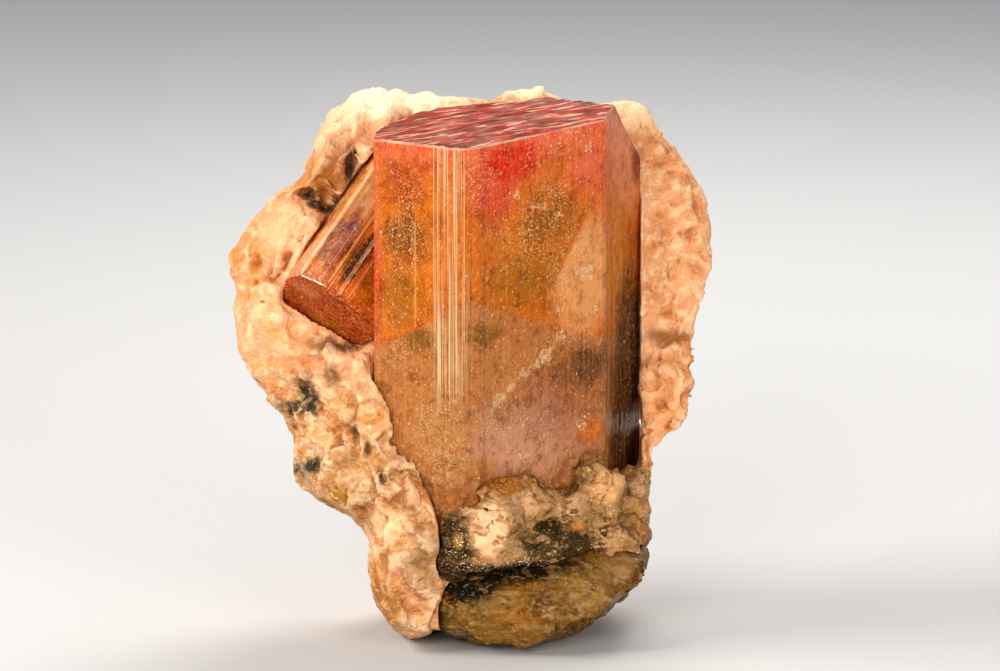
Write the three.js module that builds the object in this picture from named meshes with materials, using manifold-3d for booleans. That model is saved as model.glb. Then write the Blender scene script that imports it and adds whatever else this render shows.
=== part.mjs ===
// An elbaite specimen: a large zoned tourmaline prism and a smaller one, grown in a block of cream feldspar
// that stands on its own broken foot. Millimetres, +Z up, the viewer on the -Y side.
// The origin is the middle of the specimen's footprint, on the surface that it stands on.
import * as THREE from 'three';
import { ConvexGeometry } from 'three/addons/geometries/ConvexGeometry.js';
import { mergeVertices } from 'three/addons/utils/BufferGeometryUtils.js';
import Module from 'manifold-3d';

const wasm = await Module();
wasm.setup();

// Driving dimensions
const CRYSTAL_LENGTH = 55;           // main prism, along its c-axis
const CRYSTAL_LEAN = 5;              // degrees that the main prism leans towards the viewer
const CRYSTAL_FOOT = [0, -13.7, 10]; // where the main prism's front edge starts, at its broken lower end
const BEVEL_DIP = 46;                // degrees, the pyramid face that cuts the prism's far right corner
const BEVEL_HEADING = 65;            // degrees from +X that this face looks towards
const SIDE_TIP = [-18.1, -7, 41.9];  // middle of the smaller prism's end face
const SIDE_PITCH = 52;               // degrees below level that the smaller prism points, seen from the front
const SIDE_FORWARD = 35.7;           // degrees that it also points towards the viewer
const SIDE_LENGTH = 25;
const SIGHT_ELEVATION = 12;          // degrees above level that the viewer looks from
const CONTACT_GAP = 0.3;             // between neighbouring minerals
const FLOOR_CUT = 20;                // depth of the block that trims everything below the resting surface
const REACH = 120;                   // longer than the specimen in any direction, for the shapes that trim it
const CORNER_GROWTH = 1.3;           // keeps a margin round a prism's corners as well as its sides

// Broken pieces and lumps
const CHIP_POINTS = 22;              // corners of a broken piece
const CHIP_TURN = 2.39996;           // radians from one corner to the next, which spreads them evenly
const CHIP_ROUGHNESS = 0.08;         // share that a corner stands in or out
const BOXINESS = 0.7;                // 0 for an egg, 1 for a box
const LUMP_ROUGHNESS = { detail: 4, depth: 0.05, size: 0.9, fineSize: 0.4 };

// Seen from the front as [x, z], clockwise from the tip on the far left.
const OUTLINE = [
  [-30.5, 47.3], [-28.9, 48.5], [-27.2, 51.6], [-25.9, 52.2], [-26, 53.5], [-24.6, 54.5], [-22.2, 55.5],
  [-20.8, 56.5], [-20.6, 58.2], [-19.4, 59.4], [-18.8, 61.6], [-18.2, 63.8], [-16.4, 64.7], [-15.6, 65.8],
  [-14, 66.5], [-9.5, 66.7], [-5.2, 66.5], [-3.4, 65.8], [2.6, 65], [3.9, 65.8], [7.5, 66.1], [8.4, 66.6],
  [10.1, 66.1], [11, 64.7], [16.2, 63.8], [19.6, 64.3], [21.5, 64], [23, 62.7], [24.8, 59.4], [26.4, 57.7],
  [28, 55.1], [29, 53.3], [30.2, 51.3], [30.5, 49.8], [30, 46.7], [30.5, 42.8], [29.6, 39.7], [28.1, 36.7],
  [28.8, 32.2], [27.8, 30.3], [28.5, 29.1], [28.2, 26.9], [26.9, 24.7], [24.4, 22.4], [22.8, 21.4],
  [23.4, 19.7], [22.5, 18.3], [22.2, 13.1], [22.8, 10.4], [22.3, 8.1], [20.6, 5.4], [15.8, 1.8], [13.4, 0],
  [11.2, -1.4], [4.4, -1.4], [-2.6, 0.6], [-4.5, 0.9], [-7.6, -0.4], [-9.5, 1.4], [-11.5, 4.2], [-12.6, 8],
  [-12.4, 11.7], [-14.4, 15.3], [-16.8, 16.3], [-21.8, 19], [-21.9, 24.6], [-23.4, 28.3], [-27.8, 32.7],
  [-29.4, 36], [-29.5, 41], [-28.9, 42.8], [-29.7, 44.6],
];
const OUTLINE_CENTRE = [3, 36];
const RIM_STEPS = 120;   // points round the outline
const FRONT_RINGS = 14;
const BACK_RINGS = 5;
const FIRST_RING = 14;   // degrees from the pole to the innermost ring
const OUTLINE_SMOOTHING = [-6, -4, -2, 0, 2, 4, 6]; // neighbours averaged for the rings away from the rim
const DETAIL_FROM = 0.6; // share of the way to the rim where the outline's own detail starts
const FULLNESS = 0.42;   // below 1, the front and back keep their depth until close to the rim
const RELIEF_ROUGHNESS = { size: 6, fineSize: 2.4, rimShare: 0.25 };

// How far back the feldspar's front surface lies, Y at each x and z.
const DEPTH_X = [-30, -20, -12, -4, 5, 22, 31];
const DEPTH_Z = [0, 8, 16, 25, 33, 39, 46, 66];
const FRONT_DEPTH = [
  [-8, -9, -12.5, -14, -10, -2, 6],
  [-8, -9.5, -13.5, -16, -10, 3, 8],
  [-7, -9, -13.5, -16.4, -9, 6, 10],
  [-6, -8.5, -13, -15, -4, 10, 12],
  [-6, -8, -12, -12.5, 0, 12, 13],
  [-5, -6, -6.5, -3, 3, 12.5, 13],
  [-3, -3, -3, 1, 4, 13, 14],
  [2, 3, 4, 6, 8, 13, 14],
];
const RIM_DEPTH = { at: -4, perX: 0.18, perZ: 0.26 };
const BACK_DEPTH = { at: 10.5, perZ: 0.11 };

// Rounded lumps on the front of the feldspar: x, z, radius, height.
const FRONT_LUMPS = [
  [-18.6, 58.4, 3.6, 3.2], [-15.4, 62.5, 4.2, 2.2], [-11.5, 64.5, 4, 2], [-21.2, 51.4, 5.4, 3.6],
  [-24.6, 53.6, 3.2, 2.6], [-28.4, 48.2, 2.8, 2.4], [-25.2, 45.8, 3.8, 3.2], [-26.2, 39.6, 5, 3.4],
  [-24.6, 33.4, 5.6, 3.4], [-19.2, 35.6, 4, 2.2], [-17.2, 30.6, 4.2, 2.4], [-20.6, 28.4, 3.6, 1.8],
  [-19, 23.6, 4.6, 2.2], [-15, 20.4, 4.2, 2.4], [26.2, 51.8, 8, 2.4], [22.6, 59.4, 5.4, 1.8],
  [27.2, 43, 6, 2.4], [24.6, 45.6, 5, 1.6], [25.2, 32.8, 4.8, 2.6], [24.8, 26.4, 4.6, 2.4],
  [23.4, 21, 3.2, 1.8], [22.4, 38, 3.2, 1.2], [-3, 65.4, 4.4, 1.8], [6, 65.4, 3.6, 1.6],
];
// Sunk hollows in the front: x, z, radius across, radius up, depth.
const FRONT_PITS = [
  [-18.9, 54.9, 2.4, 1.3, 5], [-16.6, 53.6, 1.8, 1.5, 5], [-15.1, 57.6, 1.1, 2.8, 3.4],
  [-27.2, 46.6, 0.9, 2.2, 2], [22.6, 35.8, 3.4, 0.9, 2.2], [-15.6, 27.2, 0.9, 1.8, 2.2],
];

// Broken cleavage pieces low on the left, over the prism's side: centre, half sizes, seed, [tilt, heading].
const SHOULDER_CHIPS = [
  [[-8.2, -7.6, 11.4], [5.4, 8.6, 9.4], 1, [4, 8]], [[-7, -6.8, 4.4], [5.6, 7.4, 5.6], 2, [-10, 0]],
  [[-9.6, -7.6, 20.4], [5.8, 7.8, 5.6], 3, [18, 12]], [[-11.6, -5.8, 27.8], [4.4, 7.4, 8.4], 4, [24, 14]],
  [[-15.4, -4.2, 21.8], [6, 8, 6], 5, [-30, 20]], [[-18.8, -2.6, 23.6], [4.6, 7.4, 5.4], 6, [10, 24]],
  [[-14.6, -4.2, 31.6], [4.4, 6.8, 5], 7, [-20, 16]], [[-6.4, -9.4, 16.8], [3.6, 6.8, 6], 8, [30, 4]],
  [[-19.8, -1.4, 30], [5, 6.8, 5.4], 9, [15, 20]], [[-13.2, -5.4, 25.4], [4, 7.6, 4.6], 10, [-40, 16]],
];
// Where feldspar stays in front of the prism: the line of the break, as [x, z] down the prism's left side.
const BREAK_LINE = [
  [-12.2, 36.4], [-11.6, 34.2], [-10.3, 31.8], [-9.1, 29.6],
  [-7.9, 26.8], [-6.5, 23.9], [-5.7, 21.3], [-4.5, 18.8],
  [-3.9, 16.4], [-3.6, 12.2], [-3.4, 7], [-3.3, -5],
];
// The feldspar's bulk, in broad flat-faced pieces that run into one another behind the prisms.
const BULK_CHIPS = [
  [[-3, 9, 47], [23, 8, 17], 11, [8, -6]], [[13, 13.2, 39], [15, 5.2, 20], 12, [-14, 5]],
  [[-9, 7, 30], [16, 9.6, 15], 13, [20, -12]], [[6, 6.8, 20], [16, 9.4, 14], 14, [-6, 4]],
  [[1, 4.4, 8.4], [13.6, 10, 9.6], 15, [0, 0]], [[16.4, 12, 17.6], [6.6, 5.8, 11], 16, [4, 8]],
  [[-16, 8, 44], [12, 7, 14], 17, [-24, -16]],
];

// The feldspar's heel, behind the foot, gives the specimen its resting face.
const HEEL_CHIPS = [
  [[-2, 2.6, 3.4], [9, 8.4, 6.6], 21, [0, -5]], [[8, 5, 3.6], [8.4, 6.6, 6.4], 22, [0, 10]],
];

// Cross-section of the main prism, from its rounded front edge: x across, y back from the front edge.
const MAIN_SECTION = [
  [-11.75, 4.3], [-8.2, 2.7], [-4.9, 1.35], [-3.9, 0.72],
  [-3.2, 0.55], [-2.6, 0.2], [-1.8, 0.12], [-1.1, -0.02],
  [-0.2, 0.02], [0.5, 0.3], [1.1, 0.55], [1.8, 1.2], [7, 5.4],
  [12, 9.5], [16.4, 13.1], [16.9, 13.7], [17.3, 16.6],
  [17.9, 19.6], [19.4, 23.6], [21.4, 28], [18.5, 29.4], [13, 26.4], [6.5, 21.9], [1, 20.6], [-3.75, 18.8],
  [-8.75, 13.7], [-11.4, 8],
];
const BEVEL_POINT = [17.9, 19.8]; // where the bevel meets the end face, in the cross-section
// The room kept open in front of the prism, in the same frame as its cross-section.
const MAIN_CLEARANCE = [[-11.6, 6], [1, 14], [21.2, 28], [21.3, -24], [-11.7, -24]];

// Lengthwise striations on the prism faces: spacing and depth, deeper over the rounded front edge.
const STRIA = { step: 0.55, depth: 0.1, frontDepth: 0.16, frontFrom: -4.9, frontTo: 1.8 };

// Cross-section of the smaller prism: across, and out towards the viewer.
const SIDE_SECTION = [
  [-6.1, -0.6], [-6, 1.6], [-5.4, 3.5], [-2.8, 5.1], [-2, 5.2],
  [-1.6, 4.4], [-0.6, 4.6], [-0.2, 5.7], [1, 5.1],
  [5.9, 4.6], [6.7, 2], [6.5, -1.1], [3.4, -5.2], [-0.6, -7.4], [-4, -5.2],
];

// The room kept open in front of the smaller prism, and past its end.
const SIDE_CLEARANCE = [[-6, 0], [0, -2], [6.4, -1], [6.4, 16], [-6, 16]];
const SIDE_CLEARANCE_BEYOND = 1.5;

// The translucent foot under the main prism: centre and half sizes of its lumps.
const FOOT_LUMPS = [
  [[4.8, -5.6, 5.2], [9.6, 10.6, 5.8]], [[10.8, -4.8, 6], [9.4, 9.8, 6]], [[16, -3, 8], [6.6, 7.6, 4.6]],
];

// Broken pieces of pale crust over the prism's lower end: centre, half sizes, seed, [tilt, heading].
const CRUST_CHIPS = [
  [[7.4, -8.8, 14.6], [10.4, 2.6, 5], 30, [0, 40]], [[2.6, -13.2, 16], [4.2, 3, 4.2], 31, [10, 10]],
  [[4.6, -11, 20.2], [5.6, 2.4, 2.2], 32, [0, 38]], [[8.6, -8.6, 18], [4.6, 2.8, 2.2], 33, [-8, 40]],
  [[12.4, -5.8, 15], [4.4, 3.4, 3.8], 34, [0, 36]], [[16.2, -3.2, 16.2], [2.9, 3.2, 4.6], 35, [6, 20]],
  [[18, -2.2, 18.6], [1.8, 2, 2.4], 36, [0, 0]], [[16.6, -4.6, 11.2], [5, 4.8, 4.4], 37, [-10, 30]],
  [[20, -0.2, 12.6], [2.6, 5, 5], 38, [0, 10]], [[15.4, -4.2, 20.4], [2.4, 2.2, 2.2], 39, [0, 30]],
  [[-1, -13.4, 15.4], [2.8, 2.4, 4.4], 40, [5, -10]], [[9.6, -8.8, 12.6], [5.2, 4.2, 2.8], 41, [0, 40]],
  [[19.6, 2.8, 15.6], [2.4, 4, 4.4], 42, [0, 70]], [[3.4, -13, 12.6], [4.2, 3, 2.2], 43, [0, 20]],
  [[-1.8, -13, 11.6], [2.6, 2.4, 2.6], 44, [0, -20]],
];

// Repeatable value noise, from -1 to 1.
function latticeValue(i, j, k) {
  let h = Math.imul(i, 374761393) ^ Math.imul(j, 668265263) ^ Math.imul(k, 2147483647);
  h = Math.imul(h ^ (h >>> 13), 1274126177);
  return ((h ^ (h >>> 16)) >>> 0) / 2147483648 - 1;
}
const ease = (t) => t * t * (3 - 2 * t);
const mix = (a, b, t) => a + (b - a) * t;
function noise(x, y, z) {
  const [i, j, k] = [Math.floor(x), Math.floor(y), Math.floor(z)];
  const [u, v, w] = [ease(x - i), ease(y - j), ease(z - k)];
  const row = (dj, dk) => mix(latticeValue(i, j + dj, k + dk), latticeValue(i + 1, j + dj, k + dk), u);
  return mix(mix(row(0, 0), row(1, 0), v), mix(row(0, 1), row(1, 1), v), w);
}
// Two sizes of noise, the broad one first.
const roughness = (p, broad, fine) => noise(p.x / broad, p.y / broad, p.z / broad)
  + 0.45 * noise(p.x / fine + 40, p.y / fine, p.z / fine);

// Solids
function solidOf(geometry) {
  const bare = new THREE.BufferGeometry().setIndex(geometry.index);
  bare.setAttribute('position', geometry.getAttribute('position'));
  const merged = mergeVertices(bare, 1e-4);
  const solid = new wasm.Manifold(new wasm.Mesh({
    numProp: 3,
    vertProperties: new Float32Array(merged.attributes.position.array),
    triVerts: new Uint32Array(merged.index.array),
  }));
  return solid.volume() < 0 ? solidOf(turnedOut(merged)) : solid;
}
function turnedOut(geometry) {
  const index = geometry.index.array;
  for (let i = 0; i < index.length; i += 3) [index[i + 1], index[i + 2]] = [index[i + 2], index[i + 1]];
  return geometry;
}
function geometryOf(solid) {
  const mesh = solid.getMesh();
  const geometry = new THREE.BufferGeometry();
  geometry.setAttribute('position', new THREE.BufferAttribute(mesh.vertProperties, 3));
  geometry.setIndex(new THREE.BufferAttribute(mesh.triVerts, 1));
  return geometry;
}
const union = (solids) => solids.reduce((all, one) => all.add(one));
const largestBody = (solid) => solid.decompose().reduce((a, b) => (a.volume() > b.volume() ? a : b));

// Moves every vertex of a geometry to where the function puts it.
function reshape(geometry, move) {
  const position = geometry.getAttribute('position');
  const p = new THREE.Vector3();
  for (let i = 0; i < position.count; i++) {
    move(p.fromBufferAttribute(position, i));
    position.setXYZ(i, p.x, p.y, p.z);
  }
  return geometry;
}

// Everything below the resting surface.
function floorBlock() {
  const wide = 200;
  return solidOf(new THREE.BoxGeometry(wide, wide, FLOOR_CUT).translate(0, 0, -FLOOR_CUT / 2));
}

// A rock-like lump: a rounded block with a rough surface, grown outwards by a margin.
function lump(at, radii, margin) {
  const shape = new THREE.IcosahedronGeometry(1, LUMP_ROUGHNESS.detail);
  const centre = new THREE.Vector3(...at);
  const size = Math.min(...radii);
  return solidOf(reshape(shape, (p) => {
    const boxy = 1 / Math.pow(Math.abs(p.x) ** 3 + Math.abs(p.y) ** 3 + Math.abs(p.z) ** 3, 1 / 3);
    p.multiplyScalar(mix(1, boxy, BOXINESS)).multiply(new THREE.Vector3(...radii)).add(centre);
    const rough = roughness(p, size * LUMP_ROUGHNESS.size, size * LUMP_ROUGHNESS.fineSize);
    const push = 1 + LUMP_ROUGHNESS.depth * rough;
    p.sub(centre).multiplyScalar(push);
    p.setLength(p.length() + margin).add(centre);
  }));
}

// A broken piece with flat faces, boxy and turned its own way, grown outwards by a margin.
function chip([at, radii, seed, [tilt, heading]], margin = 0) {
  const turn = new THREE.Euler(0, -THREE.MathUtils.degToRad(tilt), THREE.MathUtils.degToRad(heading), 'ZYX');
  const points = Array.from({ length: CHIP_POINTS }, (_, i) => {
    const height = 1 - (2 * i + 1) / CHIP_POINTS;
    const around = i * CHIP_TURN + seed;
    const flat = Math.sqrt(1 - height * height);
    const p = new THREE.Vector3(flat * Math.cos(around), flat * Math.sin(around), height);
    const boxy = 1 / Math.pow(Math.abs(p.x) ** 4 + Math.abs(p.y) ** 4 + Math.abs(p.z) ** 4, 1 / 4);
    p.multiplyScalar(mix(1, boxy, BOXINESS) * (1 + CHIP_ROUGHNESS * latticeValue(i, seed, 5)));
    p.multiply(new THREE.Vector3(...radii)).applyEuler(turn);
    return p.setLength(p.length() + margin).add(new THREE.Vector3(...at));
  });
  return solidOf(new ConvexGeometry(points));
}

// How far the outline is from its centre in one direction.
function outlineRadius(angle) {
  const [dx, dz] = [Math.cos(angle), Math.sin(angle)];
  let far = 0;
  OUTLINE.forEach(([x0, z0], i) => {
    const [x1, z1] = OUTLINE[(i + 1) % OUTLINE.length];
    const [ax, az] = [x0 - OUTLINE_CENTRE[0], z0 - OUTLINE_CENTRE[1]];
    const [ex, ez] = [x1 - x0, z1 - z0];
    const cross = dx * ez - dz * ex;
    if (Math.abs(cross) < 1e-9) return;
    const along = (ax * ez - az * ex) / cross;
    const share = (ax * dz - az * dx) / cross;
    if (share >= 0 && share <= 1) far = Math.max(far, along);
  });
  return far;
}

// Reads the depth table between its points.
function tableDepth(x, z) {
  const place = (list, value) => {
    const last = list.length - 2;
    const i = Math.min(last, Math.max(0, list.findIndex((v) => v > value) - 1));
    const found = value >= list.at(-1) ? last : i;
    const share = (value - list[found]) / (list[found + 1] - list[found]);
    return [found, Math.min(1, Math.max(0, share))];
  };
  const [i, u] = place(DEPTH_X, x);
  const [j, v] = place(DEPTH_Z, z);
  const row = (r) => mix(FRONT_DEPTH[r][i], FRONT_DEPTH[r][i + 1], u);
  return mix(row(j), row(j + 1), v);
}
// The tallest of the lumps at a point, so that neighbours meet in a crease.
function lumpHeight(lumps, x, z) {
  return lumps.reduce((top, [lx, lz, radius, height]) => {
    const share = ((x - lx) ** 2 + (z - lz) ** 2) / radius ** 2;
    return share < 1 ? Math.max(top, height * Math.sqrt(1 - share)) : top;
  }, 0);
}
function pitDepth(x, z) {
  return FRONT_PITS.reduce((sum, [px, pz, across, up, depth]) => {
    const share = ((x - px) / across) ** 2 + ((z - pz) / up) ** 2;
    return share < 1 ? sum + depth * (1 - share) : sum;
  }, 0);
}
function surfaceDepth(x, z, isFront) {
  if (isFront) return tableDepth(x, z) - lumpHeight(FRONT_LUMPS, x, z);
  return BACK_DEPTH.at + BACK_DEPTH.perZ * z;
}

function rimDepth(x, z) {
  return RIM_DEPTH.at + RIM_DEPTH.perX * x + RIM_DEPTH.perZ * z;
}

// The feldspar as a relief over the outline: rings of points from the middle of the front, over the rim,
// to the middle of the back.
function feldsparRelief() {
  const radii = Array.from({ length: RIM_STEPS }, (_, i) => outlineRadius((i / RIM_STEPS) * 2 * Math.PI));
  const smooth = radii.map((_, i) => {
    const near = OUTLINE_SMOOTHING.map((step) => radii[(i + step + RIM_STEPS) % RIM_STEPS]);
    return near.reduce((sum, r) => sum + r, 0) / near.length;
  });
  const rings = [];
  const first = THREE.MathUtils.degToRad(FIRST_RING);
  const sweep = (count, isFront) => {
    for (let j = 0; j < count; j++) rings.push([first + (Math.PI / 2 - first) * (j / count), isFront]);
  };
  sweep(FRONT_RINGS, true);
  rings.push([Math.PI / 2, true]);
  for (let j = BACK_RINGS - 1; j >= 0; j--) {
    rings.push([first + (Math.PI / 2 - first) * (j / BACK_RINGS), false]);
  }

  const points = [];
  const put = (t, cap, angle, radius, isFront) => {
    const x = OUTLINE_CENTRE[0] + t * radius * Math.cos(angle);
    const z = OUTLINE_CENTRE[1] + t * radius * Math.sin(angle);
    const y = mix(rimDepth(x, z), surfaceDepth(x, z, isFront), cap);
    points.push(new THREE.Vector3(x, y, z));
  };
  put(0, 1, 0, 0, true);
  for (const [turn, isFront] of rings) {
    const cap = Math.cos(turn) ** FULLNESS;
    const t = Math.sin(turn);
    const detail = ease(Math.max(0, (t - DETAIL_FROM) / (1 - DETAIL_FROM)));
    radii.forEach((radius, i) => {
      put(t, cap, (i / RIM_STEPS) * 2 * Math.PI, mix(smooth[i], radius, detail), isFront);
    });
  }
  put(0, 1, 0, 0, false);

  const index = [];
  const at = (ring, i) => 1 + ring * RIM_STEPS + (i % RIM_STEPS);
  for (let i = 0; i < RIM_STEPS; i++) {
    index.push(0, at(0, i), at(0, i + 1));
    for (let r = 0; r + 1 < rings.length; r++) {
      index.push(at(r, i), at(r + 1, i), at(r + 1, i + 1), at(r, i), at(r + 1, i + 1), at(r, i + 1));
    }
    index.push(points.length - 1, at(rings.length - 1, i + 1), at(rings.length - 1, i));
  }
  const geometry = new THREE.BufferGeometry().setFromPoints(points).setIndex(index);
  geometry.computeVertexNormals();
  const normal = geometry.getAttribute('normal');
  const isRim = (i) => Math.abs(i - 1 - (FRONT_RINGS + 0.5) * RIM_STEPS) < RIM_STEPS * 1.5;
  let i = 0;
  return solidOf(reshape(geometry, (p) => {
    const share = isRim(i) ? RELIEF_ROUGHNESS.rimShare : 1;
    const rough = share * roughness(p, RELIEF_ROUGHNESS.size, RELIEF_ROUGHNESS.fineSize);
    const side = Math.sign(normal.getY(i)) || 1;
    const outward = side * (i <= FRONT_RINGS * RIM_STEPS ? -1 : 1);
    const sink = i <= FRONT_RINGS * RIM_STEPS ? pitDepth(p.x, p.z) : 0;
    p.x += normal.getX(i) * rough * outward;
    p.z += normal.getZ(i) * rough * outward;
    p.y += Math.abs(normal.getY(i)) * rough + sink;
    i += 1;
  }));
}

// The outline carried straight back along the viewer's line of sight, so that no piece shows beyond it.
function sightPrism() {
  const shape = new THREE.Shape(OUTLINE.map(([x, z]) => new THREE.Vector2(x, z)));
  const bar = new THREE.ExtrudeGeometry(shape, { depth: REACH, steps: 1, bevelEnabled: false });
  bar.rotateX(Math.PI / 2).translate(0, REACH / 2, 0);
  const slope = Math.tan(THREE.MathUtils.degToRad(SIGHT_ELEVATION));
  return solidOf(reshape(bar, (p) => {
    p.z -= slope * (p.y - rimDepth(p.x, p.z));
  }));
}

// All that lies to the left of the break line.
function breakRegion() {
  const far = -REACH / 2;
  const [top, bottom] = [BREAK_LINE[0], BREAK_LINE.at(-1)];
  const sides = [...BREAK_LINE, [far, bottom[1]], [far, top[1]]].map(([x, z]) => new THREE.Vector2(x, z));
  const shape = new THREE.Shape(sides);
  const region = new THREE.ExtrudeGeometry(shape, { depth: REACH, steps: 1, bevelEnabled: false });
  return solidOf(region.rotateX(Math.PI / 2).translate(0, REACH / 2, 0));
}

// A prism with the given cross-section along +Z, grown outwards by a margin.
function prism(section, length, margin) {
  const points = section.map(([x, y]) => new THREE.Vector2(x, y));
  const middle = points.reduce((sum, p) => sum.add(p), new THREE.Vector2()).divideScalar(points.length);
  const grown = points.map((p) => {
    const outward = p.clone().sub(middle).normalize();
    return p.clone().addScaledVector(outward, margin * CORNER_GROWTH);
  });
  const depth = length + 2 * margin;
  const body = new THREE.ExtrudeGeometry(new THREE.Shape(grown), { depth, steps: 1, bevelEnabled: false });
  return solidOf(body.translate(0, 0, -margin));
}

// The block above the bevel face of the main prism.
function bevelCutter(margin) {
  const size = REACH / 2;
  const cutter = new THREE.BoxGeometry(size, size, size).translate(0, 0, size / 2 + margin);
  cutter.rotateY(THREE.MathUtils.degToRad(BEVEL_DIP)).rotateZ(THREE.MathUtils.degToRad(BEVEL_HEADING));
  return solidOf(cutter.translate(...BEVEL_POINT, CRYSTAL_LENGTH));
}
// The section with striations: each side in short steps that alternate in depth.
function striatedSection() {
  return MAIN_SECTION.flatMap(([x0, y0], i) => {
    const [x1, y1] = MAIN_SECTION[(i + 1) % MAIN_SECTION.length];
    const length = Math.hypot(x1 - x0, y1 - y0);
    const steps = Math.max(1, Math.round(length / STRIA.step / 2) * 2);
    return Array.from({ length: steps }, (_, k) => {
      const [x, y] = [mix(x0, x1, k / steps), mix(y0, y1, k / steps)];
      const isFront = x > STRIA.frontFrom && x < STRIA.frontTo && y < 2;
      const share = k % 2 === 0 ? 0 : 0.5 + 0.5 * latticeValue(i, k, 9);
      const depth = share * (isFront ? STRIA.frontDepth : STRIA.depth);
      return [x - (depth * (y1 - y0)) / length, y + (depth * (x1 - x0)) / length];
    });
  });
}
function mainPrism(margin = 0) {
  const section = margin > 0 ? MAIN_SECTION : striatedSection();
  return prism(section, CRYSTAL_LENGTH, margin).subtract(bevelCutter(margin));
}
function mainPlacement() {
  const lean = new THREE.Matrix4().makeRotationX(THREE.MathUtils.degToRad(CRYSTAL_LEAN));
  return lean.setPosition(...CRYSTAL_FOOT);
}

// Across, outwards and along for the smaller prism, which hangs from its root to its tip.
function sidePlacement() {
  const pitch = THREE.MathUtils.degToRad(SIDE_PITCH);
  const forward = THREE.MathUtils.degToRad(SIDE_FORWARD);
  const level = Math.cos(forward);
  const along = new THREE.Vector3(-Math.cos(pitch) * level, -Math.sin(forward), -Math.sin(pitch) * level);
  const across = new THREE.Vector3(Math.sin(pitch), 0, -Math.cos(pitch));
  const outwards = new THREE.Vector3().crossVectors(along, across);
  const root = new THREE.Vector3(...SIDE_TIP).addScaledVector(along, -SIDE_LENGTH);
  return new THREE.Matrix4().makeBasis(across, outwards, along).setPosition(root);
}
const sidePrism = (margin = 0) => prism(SIDE_SECTION, SIDE_LENGTH, margin);

const placed = (solid, matrix) => solid.transform(matrix.elements);

const main = placed(mainPrism(), mainPlacement());
const mainRoom = placed(mainPrism(CONTACT_GAP), mainPlacement());
const side = placed(sidePrism(), sidePlacement()).subtract(mainRoom);
const sideRoom = placed(sidePrism(CONTACT_GAP), sidePlacement());
const below = floorBlock();
const seen = sightPrism();

// The foot bulges forward below the prism, and meets it in a rough ledge.
const footLumps = (margin) => union(FOOT_LUMPS.map(([at, radii]) => lump(at, radii, margin)));
const foot = largestBody(footLumps(0).intersect(seen).subtract(mainRoom).subtract(below));

// The crust lies over the prism's lower end, on the foot.
const crustPieces = (margin) => union(CRUST_CHIPS.map((piece) => chip(piece, margin)));
const footRoom = footLumps(CONTACT_GAP);
const crust = largestBody(crustPieces(0).intersect(seen).subtract(mainRoom).subtract(footRoom));

// The feldspar is open in front of the prisms, except to the left of the break line.
function feldsparMatrix() {
  const kept = breakRegion();
  const inFront = placed(prism(MAIN_CLEARANCE, CRYSTAL_LENGTH, CONTACT_GAP), mainPlacement()).subtract(kept);
  const sideReach = SIDE_LENGTH + SIDE_CLEARANCE_BEYOND;
  const beforeSide = placed(prism(SIDE_CLEARANCE, sideReach, CONTACT_GAP), sidePlacement());
  const shoulder = union(SHOULDER_CHIPS.map((piece) => chip(piece))).intersect(kept);
  const bulk = union([...BULK_CHIPS, ...HEEL_CHIPS].map((piece) => chip(piece)));
  const rock = feldsparRelief().add(bulk).subtract(inFront).subtract(beforeSide).add(shoulder).intersect(seen);
  return largestBody(rock.subtract(union([mainRoom, sideRoom, footRoom, crustPieces(CONTACT_GAP), below])));
}

// A named mesh whose geometry is in its own frame, placed in the specimen by the given matrix.
function node(name, solid, color, roughnessValue, placement = new THREE.Matrix4()) {
  const geometry = geometryOf(placed(solid, placement.clone().invert()));
  const look = { color, roughness: roughnessValue, metalness: 0, flatShading: true };
  const material = new THREE.MeshStandardMaterial(look);
  const mesh = new THREE.Mesh(geometry, material);
  mesh.name = name;
  mesh.applyMatrix4(placement);
  return mesh;
}

const specimen = new THREE.Group();
specimen.add(
  node('feldspar_matrix', feldsparMatrix(), 0xe2c39a, 0.75),
  node('main_crystal', main, 0xd0764a, 0.12, mainPlacement()),
  node('side_crystal', largestBody(side), 0xb5563c, 0.12, sidePlacement()),
  node('quartz_foot', foot, 0x8c7440, 0.35),
  node('pale_crust', crust, 0xd9bfa6, 0.7),
);

// The origin is the middle of the footprint.
const box = new THREE.Box3().setFromObject(specimen);
const middle = box.getCenter(new THREE.Vector3());
specimen.position.set(-middle.x, -middle.y, 0);

export default specimen;
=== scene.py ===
import math

import bmesh
import bpy
import numpy as np
from mathutils import Matrix, Vector
from mathutils.bvhtree import BVHTree
from mathutils.geometry import delaunay_2d_cdt


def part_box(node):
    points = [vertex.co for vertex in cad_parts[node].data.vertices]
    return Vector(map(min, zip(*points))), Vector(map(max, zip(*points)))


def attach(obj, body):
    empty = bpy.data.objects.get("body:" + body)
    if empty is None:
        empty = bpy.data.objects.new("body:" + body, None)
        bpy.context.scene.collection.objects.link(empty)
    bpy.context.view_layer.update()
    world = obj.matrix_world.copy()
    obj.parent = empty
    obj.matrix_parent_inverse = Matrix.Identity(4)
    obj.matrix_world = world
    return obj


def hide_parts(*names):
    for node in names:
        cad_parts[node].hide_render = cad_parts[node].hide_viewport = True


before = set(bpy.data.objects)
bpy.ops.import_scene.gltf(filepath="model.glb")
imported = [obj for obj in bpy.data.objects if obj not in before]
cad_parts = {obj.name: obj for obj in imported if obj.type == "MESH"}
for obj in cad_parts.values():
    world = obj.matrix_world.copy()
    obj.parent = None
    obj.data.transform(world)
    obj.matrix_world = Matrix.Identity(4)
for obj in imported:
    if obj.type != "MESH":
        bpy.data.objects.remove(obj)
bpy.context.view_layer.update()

MM = 0.001


# Camera
VIEW_CENTRE = (3.7, 0.0, 37.4)
VIEW_ELEVATION = 12.0
VIEW_DISTANCE = 1000.0
VIEW_WIDTH = 125.0
SENSOR = 36.0


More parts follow.
